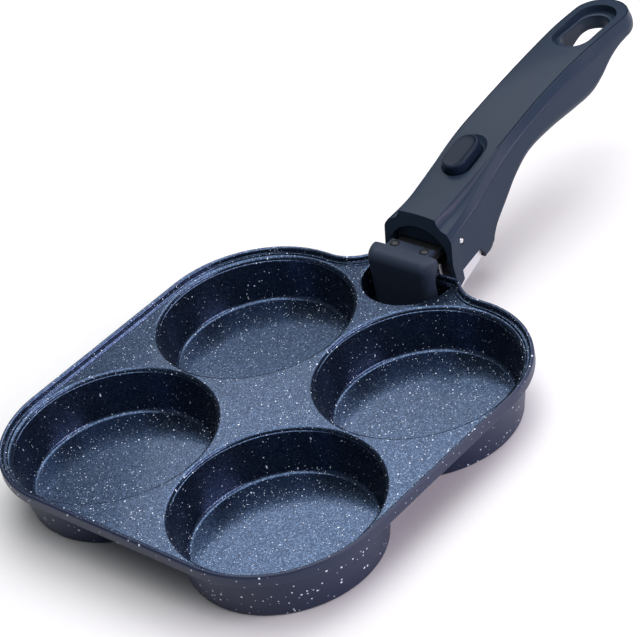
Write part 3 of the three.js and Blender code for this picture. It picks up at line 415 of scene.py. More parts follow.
@contextmanager
def editing(obj):
    """An object's mesh as a bmesh, written back at the end"""
    bm = bmesh.new()
    bm.from_mesh(obj.data)
    yield bm
    bm.to_mesh(obj.data)
    bm.free()


def bridge(bm, rows, closed=True):
    """Faces between neighbouring rows of points; a row may be a single point or share points"""
    for low, high in zip(rows, rows[1:]):
        count = max(len(low), len(high))
        for i in range(count if closed else count - 1):
            j = (i + 1) % count
            corners = (low[i % len(low)], low[j % len(low)], high[j % len(high)], high[i % len(high)])
            bm.faces.new(list(dict.fromkeys(corners)))


def skin(rings):
    """Closed skin over rings of equally many points"""
    bm = bmesh.new()
    rows = [[bm.verts.new(point) for point in ring] for ring in rings]
    bridge(bm, rows)
    bm.faces.new(list(reversed(rows[0])))
    bm.faces.new(rows[-1])
    return bm


def spin(profile, steps, centre=(0, 0)):
    """Revolved skin of a profile of radius and height that starts and ends on the axis"""
    bm = bmesh.new()
    rows = []
    for radius, z in profile:
        ring = at_height(arc(centre, radius, 0, 2 * pi, steps), z)
        rows.append([bm.verts.new(point) for point in ring[: steps if radius > 0 else 1]])
    bridge(bm, rows)
    return bm


def bore(radius, low, centre=(0, 0)):
    """Round tool that cuts from a height upwards"""
    return spin([(0, low), (radius, low), (radius, FAR), (0, FAR)], HOLE_STEPS, centre)


def prism(points, low, high, axis):
    """Extruded outline along an axis: outline in y and z for X, x and z for Y, x and y for Z"""
    place = {
        "X": lambda u, w, t: (t, u, w),
        "Y": lambda u, w, t: (u, t, w),
        "Z": lambda u, w, t: (u, w, t),
    }[axis]
    return skin([[place(u, w, t) for u, w in points] for t in (low, high)])


def ovals(levels, steps):
    """Closed skin over ovals, each with its height, half-width, half-length and middle"""
    return skin([at_height(stadium(*size, steps, middle), z) for z, *size, middle in levels])


def box(x, y, z):
    return prism(((x[0], y[0]), (x[1], y[0]), (x[1], y[1]), (x[0], y[1])), z[0], z[1], "Z")


def bake(obj):
    """Gives an object the mesh that its modifiers make"""
    graph = bpy.context.evaluated_depsgraph_get()
    mesh = bpy.data.meshes.new_from_object(obj.evaluated_get(graph), depsgraph=graph)
    obj.modifiers.clear()
    obj.data = mesh


def modify(obj, kind, **options):
    """Adds a modifier with its options and bakes it"""
    modifier = obj.modifiers.new(kind, kind)
    for key, value in options.items():
        setattr(modifier, key, value)
    bake(obj)


def combine(obj, tool, operation, material=None, overlapping=False):
    """Joins or cuts an object by a closed tool, which is used up and leaves its material on its faces"""
    if isinstance(tool, bmesh.types.BMesh):
        tool = body_of("tool", tool)
    if material:
        tool.data.materials.append(material)
    options = {"operation": operation, "use_self": overlapping, "object": tool}
    modify(obj, "BOOLEAN", solver="EXACT", material_mode="TRANSFER", **options)
    bpy.data.objects.remove(tool)


def clean(obj):
    """Joins points that fall together and splits faces of many sides into well-shaped triangles"""
    with editing(obj) as bm:
        bmesh.ops.remove_doubles(bm, verts=bm.verts, dist=NO_SIZE)
        broad = [face for face in bm.faces if len(face.verts) > 4]
        bmesh.ops.triangulate(bm, faces=broad, ngon_method="BEAUTY")


def shade(obj, angle):
    """Smooth faces with sharp edges above an angle"""
    with editing(obj) as bm:
        for face in bm.faces:
            face.smooth = True
        for edge in bm.edges:
            edge.smooth = len(edge.link_faces) == 2 and edge.calc_face_angle() < angle


def soften(obj, width, angle=SHARP_ANGLE):
    """Rounds sharp edges, unless the width is 0, and keeps broad faces flat"""
    if width > 0:
        where = {"limit_method": "ANGLE", "angle_limit": angle, "use_clamp_overlap": True}
        modify(obj, "BEVEL", width=width, segments=BEVEL_STEPS, miter_outer="MITER_ARC", **where)
    clean(obj)
    shade(obj, angle)
    modify(obj, "WEIGHTED_NORMAL", keep_sharp=True, weight=NORMAL_WEIGHT)


def copy_of(part, name):
    """Own copy of a CAD node, welded, with flat facets joined, in millimetres from the handle's place"""
    bm = bmesh.new()
    bm.from_mesh(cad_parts[part].data)
    bmesh.ops.remove_doubles(bm, verts=bm.verts, dist=WELD)
    bm.transform(HANDLE_PLACE.inverted())
    bmesh.ops.dissolve_limit(bm, angle_limit=FLAT_ANGLE, verts=bm.verts, edges=bm.edges)
    return body_of(name, bm)


def settle(obj, place, body, slot, material, *nodes):
    """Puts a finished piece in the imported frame, on its body, with its finish"""
    obj.data.transform(place)
    if material:
        obj.data.materials.clear()
        obj.data.materials.append(material)
    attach(obj, body)
    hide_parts(*nodes)


def dress(part, body, slot, material, width, name=None):
    """Replaces a CAD node by its own form with softened edges"""
    piece = copy_of(part, name or part + "_skin")
    soften(piece, width)
    settle(piece, HANDLE_PLACE, body, slot, material, part)


# Nodes
def fill(tree, made, sockets):
    """Sets or links a node's inputs"""
    for key, value in sockets.items():
        if isinstance(value, bpy.types.NodeSocket):
            tree.links.new(value, made.inputs[key])
        else:
            made.inputs[key].default_value = value


def node(tree, kind, sockets=None, **settings):
    """Adds a node, sets its options and fills its inputs; returns its outputs"""
    made = tree.nodes.new(kind)
    for key, value in settings.items():
        setattr(made, key, value)
    fill(tree, made, sockets or {})
    return made.outputs


def maths(tree, operation, *values):
    return node(tree, "ShaderNodeMath", dict(enumerate(values)), operation=operation)[0]


def varied(tree, value, middle, width):
    """A value from 0 to 1 turned into one about a middle"""
    return maths(tree, "MULTIPLY_ADD", value, width, middle - width / 2)


def scaled(tree, vector, factors):
    return node(tree, "ShaderNodeVectorMath", {0: vector, 1: factors}, operation="MULTIPLY")[0]


def noise(tree, vector, scale, detail):
    sockets = {"Vector": vector, "Scale": scale, "Detail": detail}
    return node(tree, "ShaderNodeTexNoise", sockets)["Fac"]


def mixed(tree, factor, first, second):
    """Colour between two colours or colour sockets"""
    sockets = {"Factor": factor, "A": first, "B": second}
    return node(tree, "ShaderNodeMix", sockets, data_type="RGBA")["Result"]


def bump(tree, height, strength, distance):
    sockets = {"Height": height, "Strength": strength, "Distance": distance}
    return node(tree, "ShaderNodeBump", sockets)["Normal"]


def darker(tint, share):
    return (*(share * part for part in tint[:3]), 1.0)


def new_tree(name, kind, inputs, outputs):
    """New node group with its interface; returns the tree, its inputs and its end node"""
    tree = bpy.data.node_groups.new(name, kind)
    for side, sockets in (("INPUT", inputs), ("OUTPUT", outputs)):
        for label, socket_type in sockets.items():
            tree.interface.new_socket(label, in_out=side, socket_type=socket_type)
    return tree, node(tree, "NodeGroupInput"), tree.nodes.new("NodeGroupOutput")


def made_once(make):
    """Looks a node group up by its maker's name, and makes it at its first use"""

    def found():
        return bpy.data.node_groups.get(make.__name__) or make(make.__name__)

    return found


# Shader groups: a vector and numbers in, numbers out. The grains have one interface
def shader_tree(name, inputs, outputs):
    sockets = {"Vector": "NodeSocketVector", **dict.fromkeys(inputs, FLOAT)}
    return new_tree(name, "ShaderNodeTree", sockets, dict.fromkeys(outputs, FLOAT))


@made_once
def sprayed_specks(name):
    """Scattered round specks of mixed size: a mask that is 1 on a speck"""
    tree, given, end = shader_tree(name, ("Cells per metre", "Size", "Share"), ("Mask",))
    sockets = {"Vector": given["Vector"], "Scale": given["Cells per metre"]}
    cells = node(tree, "ShaderNodeTexVoronoi", sockets)
    chance = node(tree, "ShaderNodeSeparateColor", {"Color": cells["Color"]})
    skew = maths(tree, "POWER", chance["Red"], SPECK_SKEW)
    share = maths(tree, "MULTIPLY_ADD", skew, 1 - SPECK_LEAST, SPECK_LEAST)
    reach = maths(tree, "MULTIPLY", share, given["Size"])
    core = maths(tree, "MULTIPLY", reach, SPECK_CORE)
    sockets = {"Value": cells["Distance"], "From Min": reach, "From Max": core}
    disc = node(tree, "ShaderNodeMapRange", sockets, interpolation_type="SMOOTHSTEP")["Result"]
    present = maths(tree, "LESS_THAN", chance["Green"], given["Share"])
    fill(tree, end, {"Mask": maths(tree, "MULTIPLY", disc, present)})
    return tree


@made_once
def moulded_grain(name):
    """Fine moulded grain with a slow change of tone"""
    tree, given, end = shader_tree(name, ("Grain per metre",), ("Height", "Tone"))
    fine = noise(tree, given["Vector"], given["Grain per metre"], detail=2.0)
    slow = noise(tree, given["Vector"], TONE_PER_METRE, detail=3.0)
    fill(tree, end, {"Height": fine, "Tone": slow})
    return tree


@made_once
def brushed_lines(name):
    """Fine lines of brushed steel along the handle"""
    tree, given, end = shader_tree(name, ("Grain per metre",), ("Height", "Tone"))
    where = scaled(tree, given["Vector"], BRUSH_STRETCH)
    lines = noise(tree, where, given["Grain per metre"], detail=3.0)
    fill(tree, end, {"Height": lines, "Tone": lines})
    return tree


# Materials
def new_material(name):
    """Empty material; returns it with its tree and the object coordinates"""
    made = bpy.data.materials.new(name)
    made.use_nodes = True
    tree = made.node_tree
    tree.nodes.clear()
    return made, tree, node(tree, "ShaderNodeTexCoord")["Object"]


def principled(tree, **sockets):
    """Ends a material's tree with a Principled shader"""
    named = {key.replace("_", " "): value for key, value in sockets.items()}
    shader = node(tree, "ShaderNodeBsdfPrincipled", named)
    node(tree, "ShaderNodeOutputMaterial", {"Surface": shader["BSDF"]})


def speck_layers(tree, where, layers, cover=None):
    """Largest of several layers of specks, each with its cells per metre, size and share"""
    total = None
    for cells, size, share in layers:
        if cover:
            share = maths(tree, "MULTIPLY", cover, share)
        sockets = {"Vector": where, "Cells per metre": cells, "Size": size, "Share": share}
        mask = node(tree, "ShaderNodeGroup", sockets, node_tree=sprayed_specks())["Mask"]
        total = mask if total is None else maths(tree, "MAXIMUM", total, mask)
    return total


def grained(tree, where, group, scale, tint, darkest):
    """A tint that a grain darkens down to a share of it, and the grain's height"""
    sockets = {"Vector": where, "Grain per metre": scale}
    grain = node(tree, "ShaderNodeGroup", sockets, node_tree=group)
    return mixed(tree, grain["Tone"], darker(tint, darkest), tint), grain["Height"]


def cooking_material(coating):
    """Sparkling dark coating with white specks, fewer on the cups' walls than on deck and floors:
    painted shade on the walls
    """
    made, tree, where = new_material("granite_coating")
    flakes = node(tree, "ShaderNodeTexVoronoi", {"Vector": where, "Scale": FLAKES_PER_METRE})
    chance = node(tree, "ShaderNodeSeparateColor", {"Color": flakes["Color"]})
    glint = maths(tree, "POWER", chance["Red"], FLAKE_CONTRAST)
    flake = mixed(tree, glint, coating.flake_dark, coating.flake_light)
    height = node(tree, "ShaderNodeSeparateXYZ", {"Vector": where})["Z"]
    middle = (BASE_T + DECK_Z) / 2 * MM
    # Painted shade: the same coating gets fewer white specks on the cups' walls, so the walls read
    # darker
    wall = maths(tree, "COMPARE", height, middle, WALL_SHARE * CUP_DEPTH * MM)
    cover = maths(tree, "MULTIPLY_ADD", wall, -WALL_SHADE_THINNING, 1.0)
    spots = speck_layers(tree, where, COATING_SPECKS, cover)
    streaks = speck_layers(tree, scaled(tree, where, STREAK_STRETCH), COATING_STREAKS, cover)
    specks = maths(tree, "MAXIMUM", spots, streaks)
    relief = maths(tree, "ADD", chance["Blue"], specks)
    principled(
        tree,
        Base_Color=mixed(tree, specks, flake, coating.speck),
        Metallic=maths(tree, "MULTIPLY_ADD", specks, -COATING_METAL, COATING_METAL),
        Roughness=varied(tree, chance["Green"], middle=0.23, width=0.1),
        Coat_Weight=0.08,
        Normal=bump(tree, relief, strength=0.12, distance=0.00006),
    )
    return made


def outside_material(coating):
    """Dark paint with sparse specks, on the outer walls and the bases"""
    made, tree, where = new_material("outer_paint")
    specks = speck_layers(tree, where, OUTSIDE_SPECKS)
    paint, height = grained(
        tree, where, moulded_grain(), OUTSIDE_GRAIN, coating.outside, darkest=0.82
    )
    principled(
        tree,
        Base_Color=mixed(tree, specks, paint, coating.speck),
        Roughness=0.42,
        Specular_IOR_Level=0.35,
        Normal=bump(tree, height, strength=0.15, distance=0.00005),
    )
    return made


def moulded_material(name, tint, roughness, gloss, grain_scale, relief, coat):
    """Moulded plastic or rubber with a fine grain"""
    made, tree, where = new_material(name)
    tone, height = grained(tree, where, moulded_grain(), grain_scale, tint, darkest=0.85)
    principled(
        tree,
        Base_Color=tone,
        Roughness=varied(tree, height, roughness, width=0.12),
        Specular_IOR_Level=gloss,
        Coat_Weight=coat,
        Coat_Roughness=0.14,
        Normal=bump(tree, height, relief, distance=0.00005),
    )
    return made


def steel_material(name, tint, roughness, metallic):
    """Steel with fine brushed lines"""
    made, tree, where = new_material(name)
    tone, height = grained(tree, where, brushed_lines(), BRUSH_PER_METRE, tint, darkest=0.8)
    principled(
        tree,
        Base_Color=tone,
        Metallic=metallic,
        Roughness=varied(tree, height, roughness, width=0.2),
        Normal=bump(tree, height, strength=0.12, distance=0.00003),
    )
    return made


# Finishes of the handle: maker and colour setting, then roughness, gloss, grain per metre, relief and
# coat of a moulding, or roughness and metallic of a steel
FINISHES = {
    "moulded_handle": (moulded_material, "plastic", 0.38, 0.09, 2600.0, 0.06, 0.07),
    "moulded_button": (moulded_material, "button", 0.36, 0.07, 2600.0, 0.04, 0.06),
    "moulded_cover": (moulded_material, "cover", 0.6, 0.3, 2200.0, 0.2, 0.0),
    "jaw_rubber": (moulded_material, "rubber", 0.5, 0.16, 1800.0, 0.12, 0.0),
    "brushed_steel": (steel_material, "steel", 0.32, 1.0),
    "blackened_steel": (steel_material, "black_steel", 0.45, 0.6),
}


def finish_of(settings, name):
    """A material of the handle, made at its first use"""
    make, setting, *values = FINISHES[name]
    return bpy.data.materials.get(name) or make(name, getattr(settings, setting), *values)


# Geometry Nodes trees
def geometry_tree(name, inputs):
    """New geometry tree with named inputs, a Material input and one geometry output"""
    inputs = {**inputs, "Material": "NodeSocketMaterial"}
    outputs = {"Geometry": "NodeSocketGeometry"}
    tree, given, end = new_tree(name, "GeometryNodeTree", inputs, outputs)
    tree.is_modifier = True
    return tree, given, end


def close_tree(tree, given, end, geometry):
    """Realizes the instances and sets the material"""
    real = node(tree, "GeometryNodeRealizeInstances", {"Geometry": geometry})[0]
    sockets = {"Geometry": real, "Material": given["Material"]}
    fill(tree, end, {"Geometry": node(tree, "GeometryNodeSetMaterial", sockets)[0]})
    return tree


@made_once
def four_on_a_square(name):
    """A copy of a body on each corner of a square"""
    tree, given, end = geometry_tree(name, {"Body": "NodeSocketObject", "Spacing": FLOAT})
    side = given["Spacing"]
    sockets = {"Size X": side, "Size Y": side, "Vertices X": 2, "Vertices Y": 2}
    corners = node(tree, "GeometryNodeMeshGrid", sockets)["Mesh"]
    body = node(tree, "GeometryNodeObjectInfo", {"Object": given["Body"]})["Geometry"]
    sockets = {"Points": corners, "Instance": body}
    copies = node(tree, "GeometryNodeInstanceOnPoints", sockets)[0]
    return close_tree(tree, given, end, copies)


@made_once
def coil_spring(name):
    """A round wire wound into a spring"""
    measures = dict.fromkeys(("Radius", "Wire", "Turns", "Length"), FLOAT)
    tree, given, end = geometry_tree(name, {**measures, "Sides": "NodeSocketInt"})
    sockets = {
        "Resolution": COIL_STEPS,
        "Rotations": given["Turns"],
        "Start Radius": given["Radius"],
        "End Radius": given["Radius"],
        "Height": given["Length"],
    }
    path = node(tree, "GeometryNodeCurveSpiral", sockets)[0]
    sockets = {"Resolution": given["Sides"], "Radius": given["Wire"]}
    section = node(tree, "GeometryNodeCurvePrimitiveCircle", sockets)[0]
    sockets = {"Curve": path, "Profile Curve": section, "Fill Caps": True}
    wire = node(tree, "GeometryNodeCurveToMesh", sockets)[0]
    return close_tree(tree, given, end, wire)


def grow(name, tree, values):
    """An object from a geometry tree, with its inputs set, baked to a plain mesh"""
    obj = new_object(name, bpy.data.meshes.new(name))
    modifier = obj.modifiers.new("grow", "NODES")
    modifier.node_group = tree
    for item in tree.interface.items_tree:
        if item.in_out == "INPUT" and item.name in values:
            modifier[item.identifier] = values[item.name]
    bake(obj)
    return obj


# Pan
def pan_outline():
    """Points of the pan's outline with their outward normals"""
    reach = NECK_SHOULDER_R + NECK_FILLET_R
    sweep = acos(1 - NECK_OUT / reach)
    fillet = (NECK_HALF + reach * sin(sweep), PAN_HALF + NECK_FILLET_R)
    shoulder = (NECK_HALF, CLAMP_Y - NECK_SHOULDER_R)
    stretches = (
        ((CUP_OFFSET, -CUP_OFFSET), CORNER_R, -QUARTER, 0, CORNER_STEPS, 1),
        ((CUP_OFFSET, CUP_OFFSET), CORNER_R, 0, QUARTER, CORNER_STEPS, 1),
        (fillet, NECK_FILLET_R, -QUARTER, -QUARTER - sweep, NECK_STEPS, -1),
        (shoulder, NECK_SHOULDER_R, QUARTER - sweep, QUARTER, NECK_STEPS, 1),
    )
    right = []
    for centre, radius, start, end, steps, side in stretches:
        for x, y in arc(centre, radius, start, end, steps):
            out = Vector((x - centre[0], y - centre[1])) * (side / radius)
            if not right or (Vector((x, y)) - right[-1][0]).length > NO_SIZE:
                right.append((Vector((x, y)), out))
    left = [(Vector((-at.x, at.y)), Vector((-out.x, out.y))) for at, out in reversed(right)]
    return right + left


def deck_and_rim():
    """Deck and rim: the rim's section carried round the outline"""
    bead = RIM_W / 2
    ledge_end = RIM_W + LEDGE_W
    crown = arc((bead, RIM_H - bead), bead, pi, 0, 2 * ROUND_STEPS)
    ledge = [crown[-1], (RIM_W, LEDGE_H), (ledge_end, LEDGE_H)]
    ledge += [(ledge_end + LEDGE_DRAFT, 0), (DECK_INSET, 0)]
    inner = rounded(ledge, LEDGE_ROUNDS, CREASE_STEPS)[1:-1]
    foot = arc((DECK_EDGE_R, DECK_EDGE_R - DECK_T), DECK_EDGE_R, -QUARTER, -pi, EDGE_STEPS)
    edge = pan_outline()
    rings = [
        [(at.x - inset * out.x, at.y - inset * out.y, DECK_Z + z) for at, out in edge]
        for inset, z in foot + crown + inner
    ]
    bm = skin(rings)
    outer_count = (len(foot) + ROUND_STEPS) * len(edge)
    underside = len(bm.faces) - 2
    for number, face in enumerate(bm.faces):
        face.material_index = 1 if number < outer_count or number == underside else 0
    return body_of("pan_skin", bm)


def cup_outside():
    """Outer form of one cup: drafted wall, flare, rounded foot and shallow rings under the base"""
    top = DECK_Z - DECK_T / 2
    flare_z = DECK_Z - DECK_T - SKIRT_FLARE_R
    wall_r = CUP_MOUTH_R + CUP_WALL - (DECK_Z - flare_z) * CUP_DRAFT
    foot_r = CUP_MOUTH_R + CUP_WALL - (DECK_Z - BASE_EDGE_R) * CUP_DRAFT - BASE_EDGE_R
    profile = [(0, 0)]
    for radius in BASE_GROOVE_R:
        profile += [(radius + out, z) for out, z in BASE_GROOVE]
    profile += arc((foot_r, BASE_EDGE_R), BASE_EDGE_R, -QUARTER, 0, ROUND_STEPS)
    flare = arc((wall_r + SKIRT_FLARE_R, flare_z), SKIRT_FLARE_R, pi, QUARTER, ROUND_STEPS)
    profile += [*flare, (flare[-1][0], top), (0, top)]
    return spin(profile, CUP_STEPS)


def cup_inside(lip_r):
    """Hollow of one cup: floor, fillet, drafted wall, small step and rounded lip"""
    fillet_r = CUP_FOOT_R + CUP_DRAFT * CUP_FLOOR_FILLET - CUP_FLOOR_FILLET
    mouth_r = CUP_MOUTH_R + lip_r
    step_out, step_down = LIP_STEP
    profile = [(0, BASE_T)]
    profile += arc((fillet_r, BASE_T + CUP_FLOOR_FILLET), CUP_FLOOR_FILLET, -QUARTER, 0, ROUND_STEPS)
    profile.append((CUP_MOUTH_R - step_out, DECK_Z - lip_r - step_down))
    profile += arc((mouth_r, DECK_Z - lip_r), lip_r, pi, QUARTER, ROUND_STEPS)
    profile += [(mouth_r, DECK_Z + LEDGE_H), (0, DECK_Z + LEDGE_H)]
    return spin(profile, CUP_STEPS)


def pocket_plan(radius, wall):
    """Half-disc plan of the clamp pocket, with a straight back or a back wall"""
    middle = CLAMP_Y - CLAMP_WALL_T
    plan = arc((0, middle), radius, pi, 2 * pi, POCKET_STEPS)
    if wall > 0:
        plan += arc((radius - wall, middle), wall, 0, QUARTER, ROUND_STEPS)[1:]
        plan += arc((wall - radius, middle), wall, QUARTER, pi, ROUND_STEPS)[:-1]
    return plan


def pocket_hollow():
    """Blind half-round pocket with a small lip at the deck"""
    lip = arc((0, DECK_Z - POCKET_LIP_R), POCKET_LIP_R, 0, QUARTER, EDGE_STEPS)
    levels = [(0, DECK_Z - POCKET_DEPTH)]
    levels += [(POCKET_LIP_R - r, z) for r, z in lip]
    levels += [(POCKET_LIP_R, DECK_Z + LEDGE_H)]
    return skin([at_height(pocket_plan(POCKET_R + more, 0), z) for more, z in levels])


def pan_skin(coating):
    """The whole pan in one closed skin"""
    inside = cooking_material(coating)
    outside = outside_material(coating)
    body = deck_and_rim()
    body.data.materials.append(inside)
    body.data.materials.append(outside)
    floor = DECK_Z - POCKET_DEPTH - POCKET_FLOOR_T
    plan = pocket_plan(POCKET_R + POCKET_WALL, CLAMP_WALL_T - APART)
    combine(body, prism(plan, floor, DECK_Z - DECK_T / 2, "Z"), "UNION", outside)
    rows = (
        (cup_outside(), "UNION", outside),
        (cup_inside(coating.lip_round / MM), "DIFFERENCE", inside),
    )
    for form, operation, material in rows:
        cup = body_of("cup", form)
        values = {"Body": cup, "Spacing": 2.0 * CUP_OFFSET, "Material": material}
        cups = grow("cups", four_on_a_square(), values)
        bpy.data.objects.remove(cup)
        combine(body, cups, operation, overlapping=operation == "UNION")
    combine(body, pocket_hollow(), "DIFFERENCE", inside)
    soften(body, 0)
    return body


class EGGPAN_OT_pan(bpy.types.Operator):
    """Builds the coated pan with its four cups, rim and clamp pocket"""

    bl_idname = "egg_pan.pan"
    bl_label = "Pan"

    def execute(self, context):
        coating = context.scene.egg_pan_coating
        settle(pan_skin(coating), PAN_PLACE, "pan", "coated_aluminium", None, "pan_body")
        return {"FINISHED"}


# Handle
def along(column):
    """Smooth curve through one column of the sections"""
    xs = [row[0] for row in SECTIONS]
    ys = [row[column] for row in SECTIONS]
    last = len(xs) - 1

    def slope(i):
        low = max(i - 1, 0)
        high = min(i + 1, last)
        return (ys[high] - ys[low]) / (xs[high] - xs[low])

    def value(x):
        k = max([i for i in range(last) if xs[i] <= x] or [0])
        span = xs[k + 1] - xs[k]
        t = (x - xs[k]) / span
        rise = ys[k + 1] - ys[k]
        m0 = slope(k) * span
        m1 = slope(k + 1) * span
        return ys[k] + t * (m0 + t * (3 * rise - 2 * m0 - m1 + t * (m0 + m1 - 2 * rise)))

    return value


CURVES = [along(column) for column in range(1, len(SECTIONS[0]))]
TOP_Z = CURVES[1]
FLOOR_Z = CURVES[7]


def half_section(y, settings):
    """Right half of a handle section, from the middle of the top to the middle of the underside"""
    top_x, top_z, shoulder_x, shoulder_z, ridge_x, ridge_z, floor_x, floor_z, floor_r = (
        curve(y) for curve in CURVES
    )
    share = min(max((y - SEAM_FROM) / (SEAM_FULL - SEAM_FROM), 0), 1)
    seam_w = settings.seam_width / MM
    seam_d = settings.seam_depth / MM * share
    round_r = settings.crease_round / MM

    def crown(x):
        return top_z + TOP_CROWN * (1 - (x / top_x) ** 2)

    roof = [(x, crown(x)) for x in spread(0, top_x, ROOF_STEPS)[:-1]]
    seam = [(top_x - seam_w * back, seam_d * drop) for back, drop in SEAM_SHAPE]
    seam = [(x, crown(x) - drop) for x, drop in seam]
    across = shoulder_x - top_x
    down = shoulder_z - top_z
    cove = []
    for t in COVE_STEPS:
        sag = 4 * COVE_SAG * t * (1 - t)
        cove.append((top_x + across * t + down * sag, top_z + down * t - across * sag))
    floor = arc((floor_x - floor_r, floor_z + floor_r), floor_r, 0, -QUARTER, FLOOR_STEPS)
    edge = rounded([seam[-1], (top_x, top_z), cove[0]], (round_r,), CREASE_STEPS)
    side = [cove[-1], (shoulder_x, shoulder_z), (ridge_x, ridge_z), floor[0]]
    creases = rounded(side, (round_r, round_r), CREASE_STEPS)
    return roof + seam + edge[1:] + cove[1:] + creases[1:-1] + floor + [(0, floor_z)]


def handle_loft(settings):
    """Closed skin of the handle with its half-round tail"""
    bm = bmesh.new()
    first = SECTIONS[0][0]
    tail = SECTIONS[-1][0]
    rows = []
    for y in spread(first, tail, round((tail - first) / HANDLE_STEP)):
        right = half_section(y, settings)
        ring = right + [(-x, z) for x, z in right[-2:0:-1]]
        rows.append([bm.verts.new((x, y, z)) for x, z in ring])
    bridge(bm, rows)
    bm.faces.new(list(reversed(rows[0])))
    profile = half_section(tail, settings)
    size = len(profile)
    count = len(rows[-1])
    right = rows[-1][:size]
    meridians = [right]
    for turn in spread(0, pi, TAIL_STEPS)[1:-1]:
        spots = [(x * cos(turn), tail + x * sin(turn), z) for x, z in profile[1:-1]]
        meridians.append([right[0], *(bm.verts.new(spot) for spot in spots), right[-1]])
    meridians.append([rows[-1][(count - i) % count] for i in range(size)])
    bridge(bm, meridians, closed=False)
    return body_of("handle_skin", bm)


def loop_tool():
    """Hanging loop: through slot with a lip, bead and groove on top and a relief below"""
    middle = sum(LOOP_SPAN) / 2
    half_l = (LOOP_SPAN[1] - LOOP_SPAN[0]) / 2
    wider = LOOP_STEP_HALF - LOOP_HALF
    longer = (LOOP_STEP_SPAN[1] - LOOP_STEP_SPAN[0]) / 2 - half_l
    shift = sum(LOOP_STEP_SPAN) / 2 - middle
    step_z = SECTIONS[-1][2] - LOOP_STEP_DEPTH
    slot = [(0, LOOP_RELIEF), (LOOP_RELIEF_Z - LOOP_RELIEF_EDGE, LOOP_RELIEF), (LOOP_RELIEF_Z, 0)]
    slot += [(step_z - LOOP_LIP_R, 0), (step_z - LOOP_LIP_SAG, LOOP_LIP_SAG)]
    ledge = [(step_z, LOOP_LIP_R / wider)]
    for t in spread(0, 1, ROUND_STEPS):
        share = LOOP_BEAD[0] + (LOOP_BEAD[1] - LOOP_BEAD[0]) * t
        ledge.append((step_z - LOOP_GROOVE * (1 - cos(pi * t)) / 2, share))
    ledge += [(step_z - LOOP_GROOVE, LOOP_GROOVE_END), (step_z + LOOP_WALL_FOOT, 1)]
    ledge += [(step_z + LOOP_ABOVE, 1)]
    levels = [(z, LOOP_HALF + more, half_l + more, middle) for z, more in slot]
    for z, share in ledge:
        levels.append((z, LOOP_HALF + wider * share, half_l + longer * share, middle + shift * share))
    return ovals(levels, LOOP_STEPS)


def button_place():
    """Plane of the release button on the top face"""
    spot = Matrix.Translation((0, BUTTON_AT, TOP_Z(BUTTON_AT) + TOP_CROWN))
    return spot @ Matrix.Rotation(BUTTON_TILT, 4, "X")


def button_form(levels):
    """Ovals stacked on the button's plane"""
    bm = ovals(levels, OVAL_STEPS)
    bm.transform(button_place())
    return bm


def well_tool():
    """Well of the button with the flared scoop round it"""
    flare = [(-BUTTON_WELL, 0), (-SCOOP_DEPTH, 0)]
    flare += [(-SCOOP_DEPTH + 2 * SCOOP_DEPTH * t * t, t) for t in SCOOP_STEPS]
    levels = []
    for z, share in flare:
        more = BUTTON_GAP + (SCOOP_FLARE - BUTTON_GAP) * share
        levels.append((z, BUTTON_HALF + more, BUTTON_HALF_L + more, SCOOP_SHIFT * share))
    return button_form(levels)


def mouth_tool():
    """Arched mouth in the nose"""
    rise = MOUTH_TOP_Z - MOUTH_SPRING_Z
    turn = arc((0, 0), 1, 0, pi, MOUTH_STEPS)
    arch = [(BODY_HALF_INNER * u, MOUTH_SPRING_Z + rise * w) for u, w in turn]
    shape = [(BODY_HALF_INNER, -FAR), *arch, (-BODY_HALF_INNER, -FAR)]
    return prism(shape, -MOUTH_DEPTH, MOUTH_DEPTH, "Y")


def seat_tool():
    """Seat of the underside cover, which follows the handle's floor"""
    ys = spread(COVER_SPAN[0] - FIT, COVER_SPAN[1] + FIT, SEAT_STEPS)
    shape = [(ys[0], -FAR), (ys[-1], -FAR)]
    shape += [(y, FLOOR_Z(y) + COVER_T + FIT) for y in reversed(ys)]
    return prism(shape, -COVER_HALF - FIT, COVER_HALF + FIT, "X")


def handle_skin(settings):
    """Handle body: loft cut by nose, mouth, windows, bays, button well, loop and cover seat"""
    body = handle_loft(settings)
    nose_rear = MOUTH_DEPTH + MOUTH_WEB_T
    ahead = ((NOSE_FRONT[-1][0], -FAR), (-FAR, -FAR), (-FAR, FAR), (NOSE_FRONT[0][0], FAR))
    sides = (-BODY_HALF_INNER, BODY_HALF_INNER)
    bay = (-GEAR_BAY_HALF, GEAR_BAY_HALF)
    pin = bore(PIN_R + FIT, -FAR)
    pin.transform(Matrix.Translation((0, *PIN_AT)) @ Matrix.Rotation(QUARTER, 4, "Y"))
    tools = (
        prism((*NOSE_FRONT, *ahead), -FAR, FAR, "X"),
        prism(CHEEK_WINDOW, -FAR, FAR, "X"),
        box(sides, (nose_rear, NOSE_HALL_REAR), (-FAR, NOSE_CEILING_Z)),
        box(sides, (0, nose_rear + FIT), (-FAR, MOUTH_SLOT_TOP_Z)),
        box(bay, GEAR_BAY, (-FAR, GEAR_BAY_CEILING_Z)),
        mouth_tool(),
        well_tool(),
        loop_tool(),
        pin,
        seat_tool(),
    )
    for tool in tools:
        combine(body, tool, "DIFFERENCE")
    soften(body, 0)
    return body


class EGGPAN_OT_handle(bpy.types.Operator):
    """Builds the moulded handle body and dresses its cover and trigger"""

    bl_idname = "egg_pan.handle"
    bl_label = "Handle"

    def execute(self, context):
        settings = context.scene.egg_pan_handle
        plastic = finish_of(settings, "moulded_handle")
        cover = finish_of(settings, "moulded_cover")
        settle(handle_skin(settings), HANDLE_PLACE, "handle", "handle_plastic", plastic, "handle_body")
        dress("base_cover", "handle", "cover_plastic", cover, width=0.35)
        dress("trigger", "trigger", "handle_plastic", plastic, width=0.7)
        return {"FINISHED"}


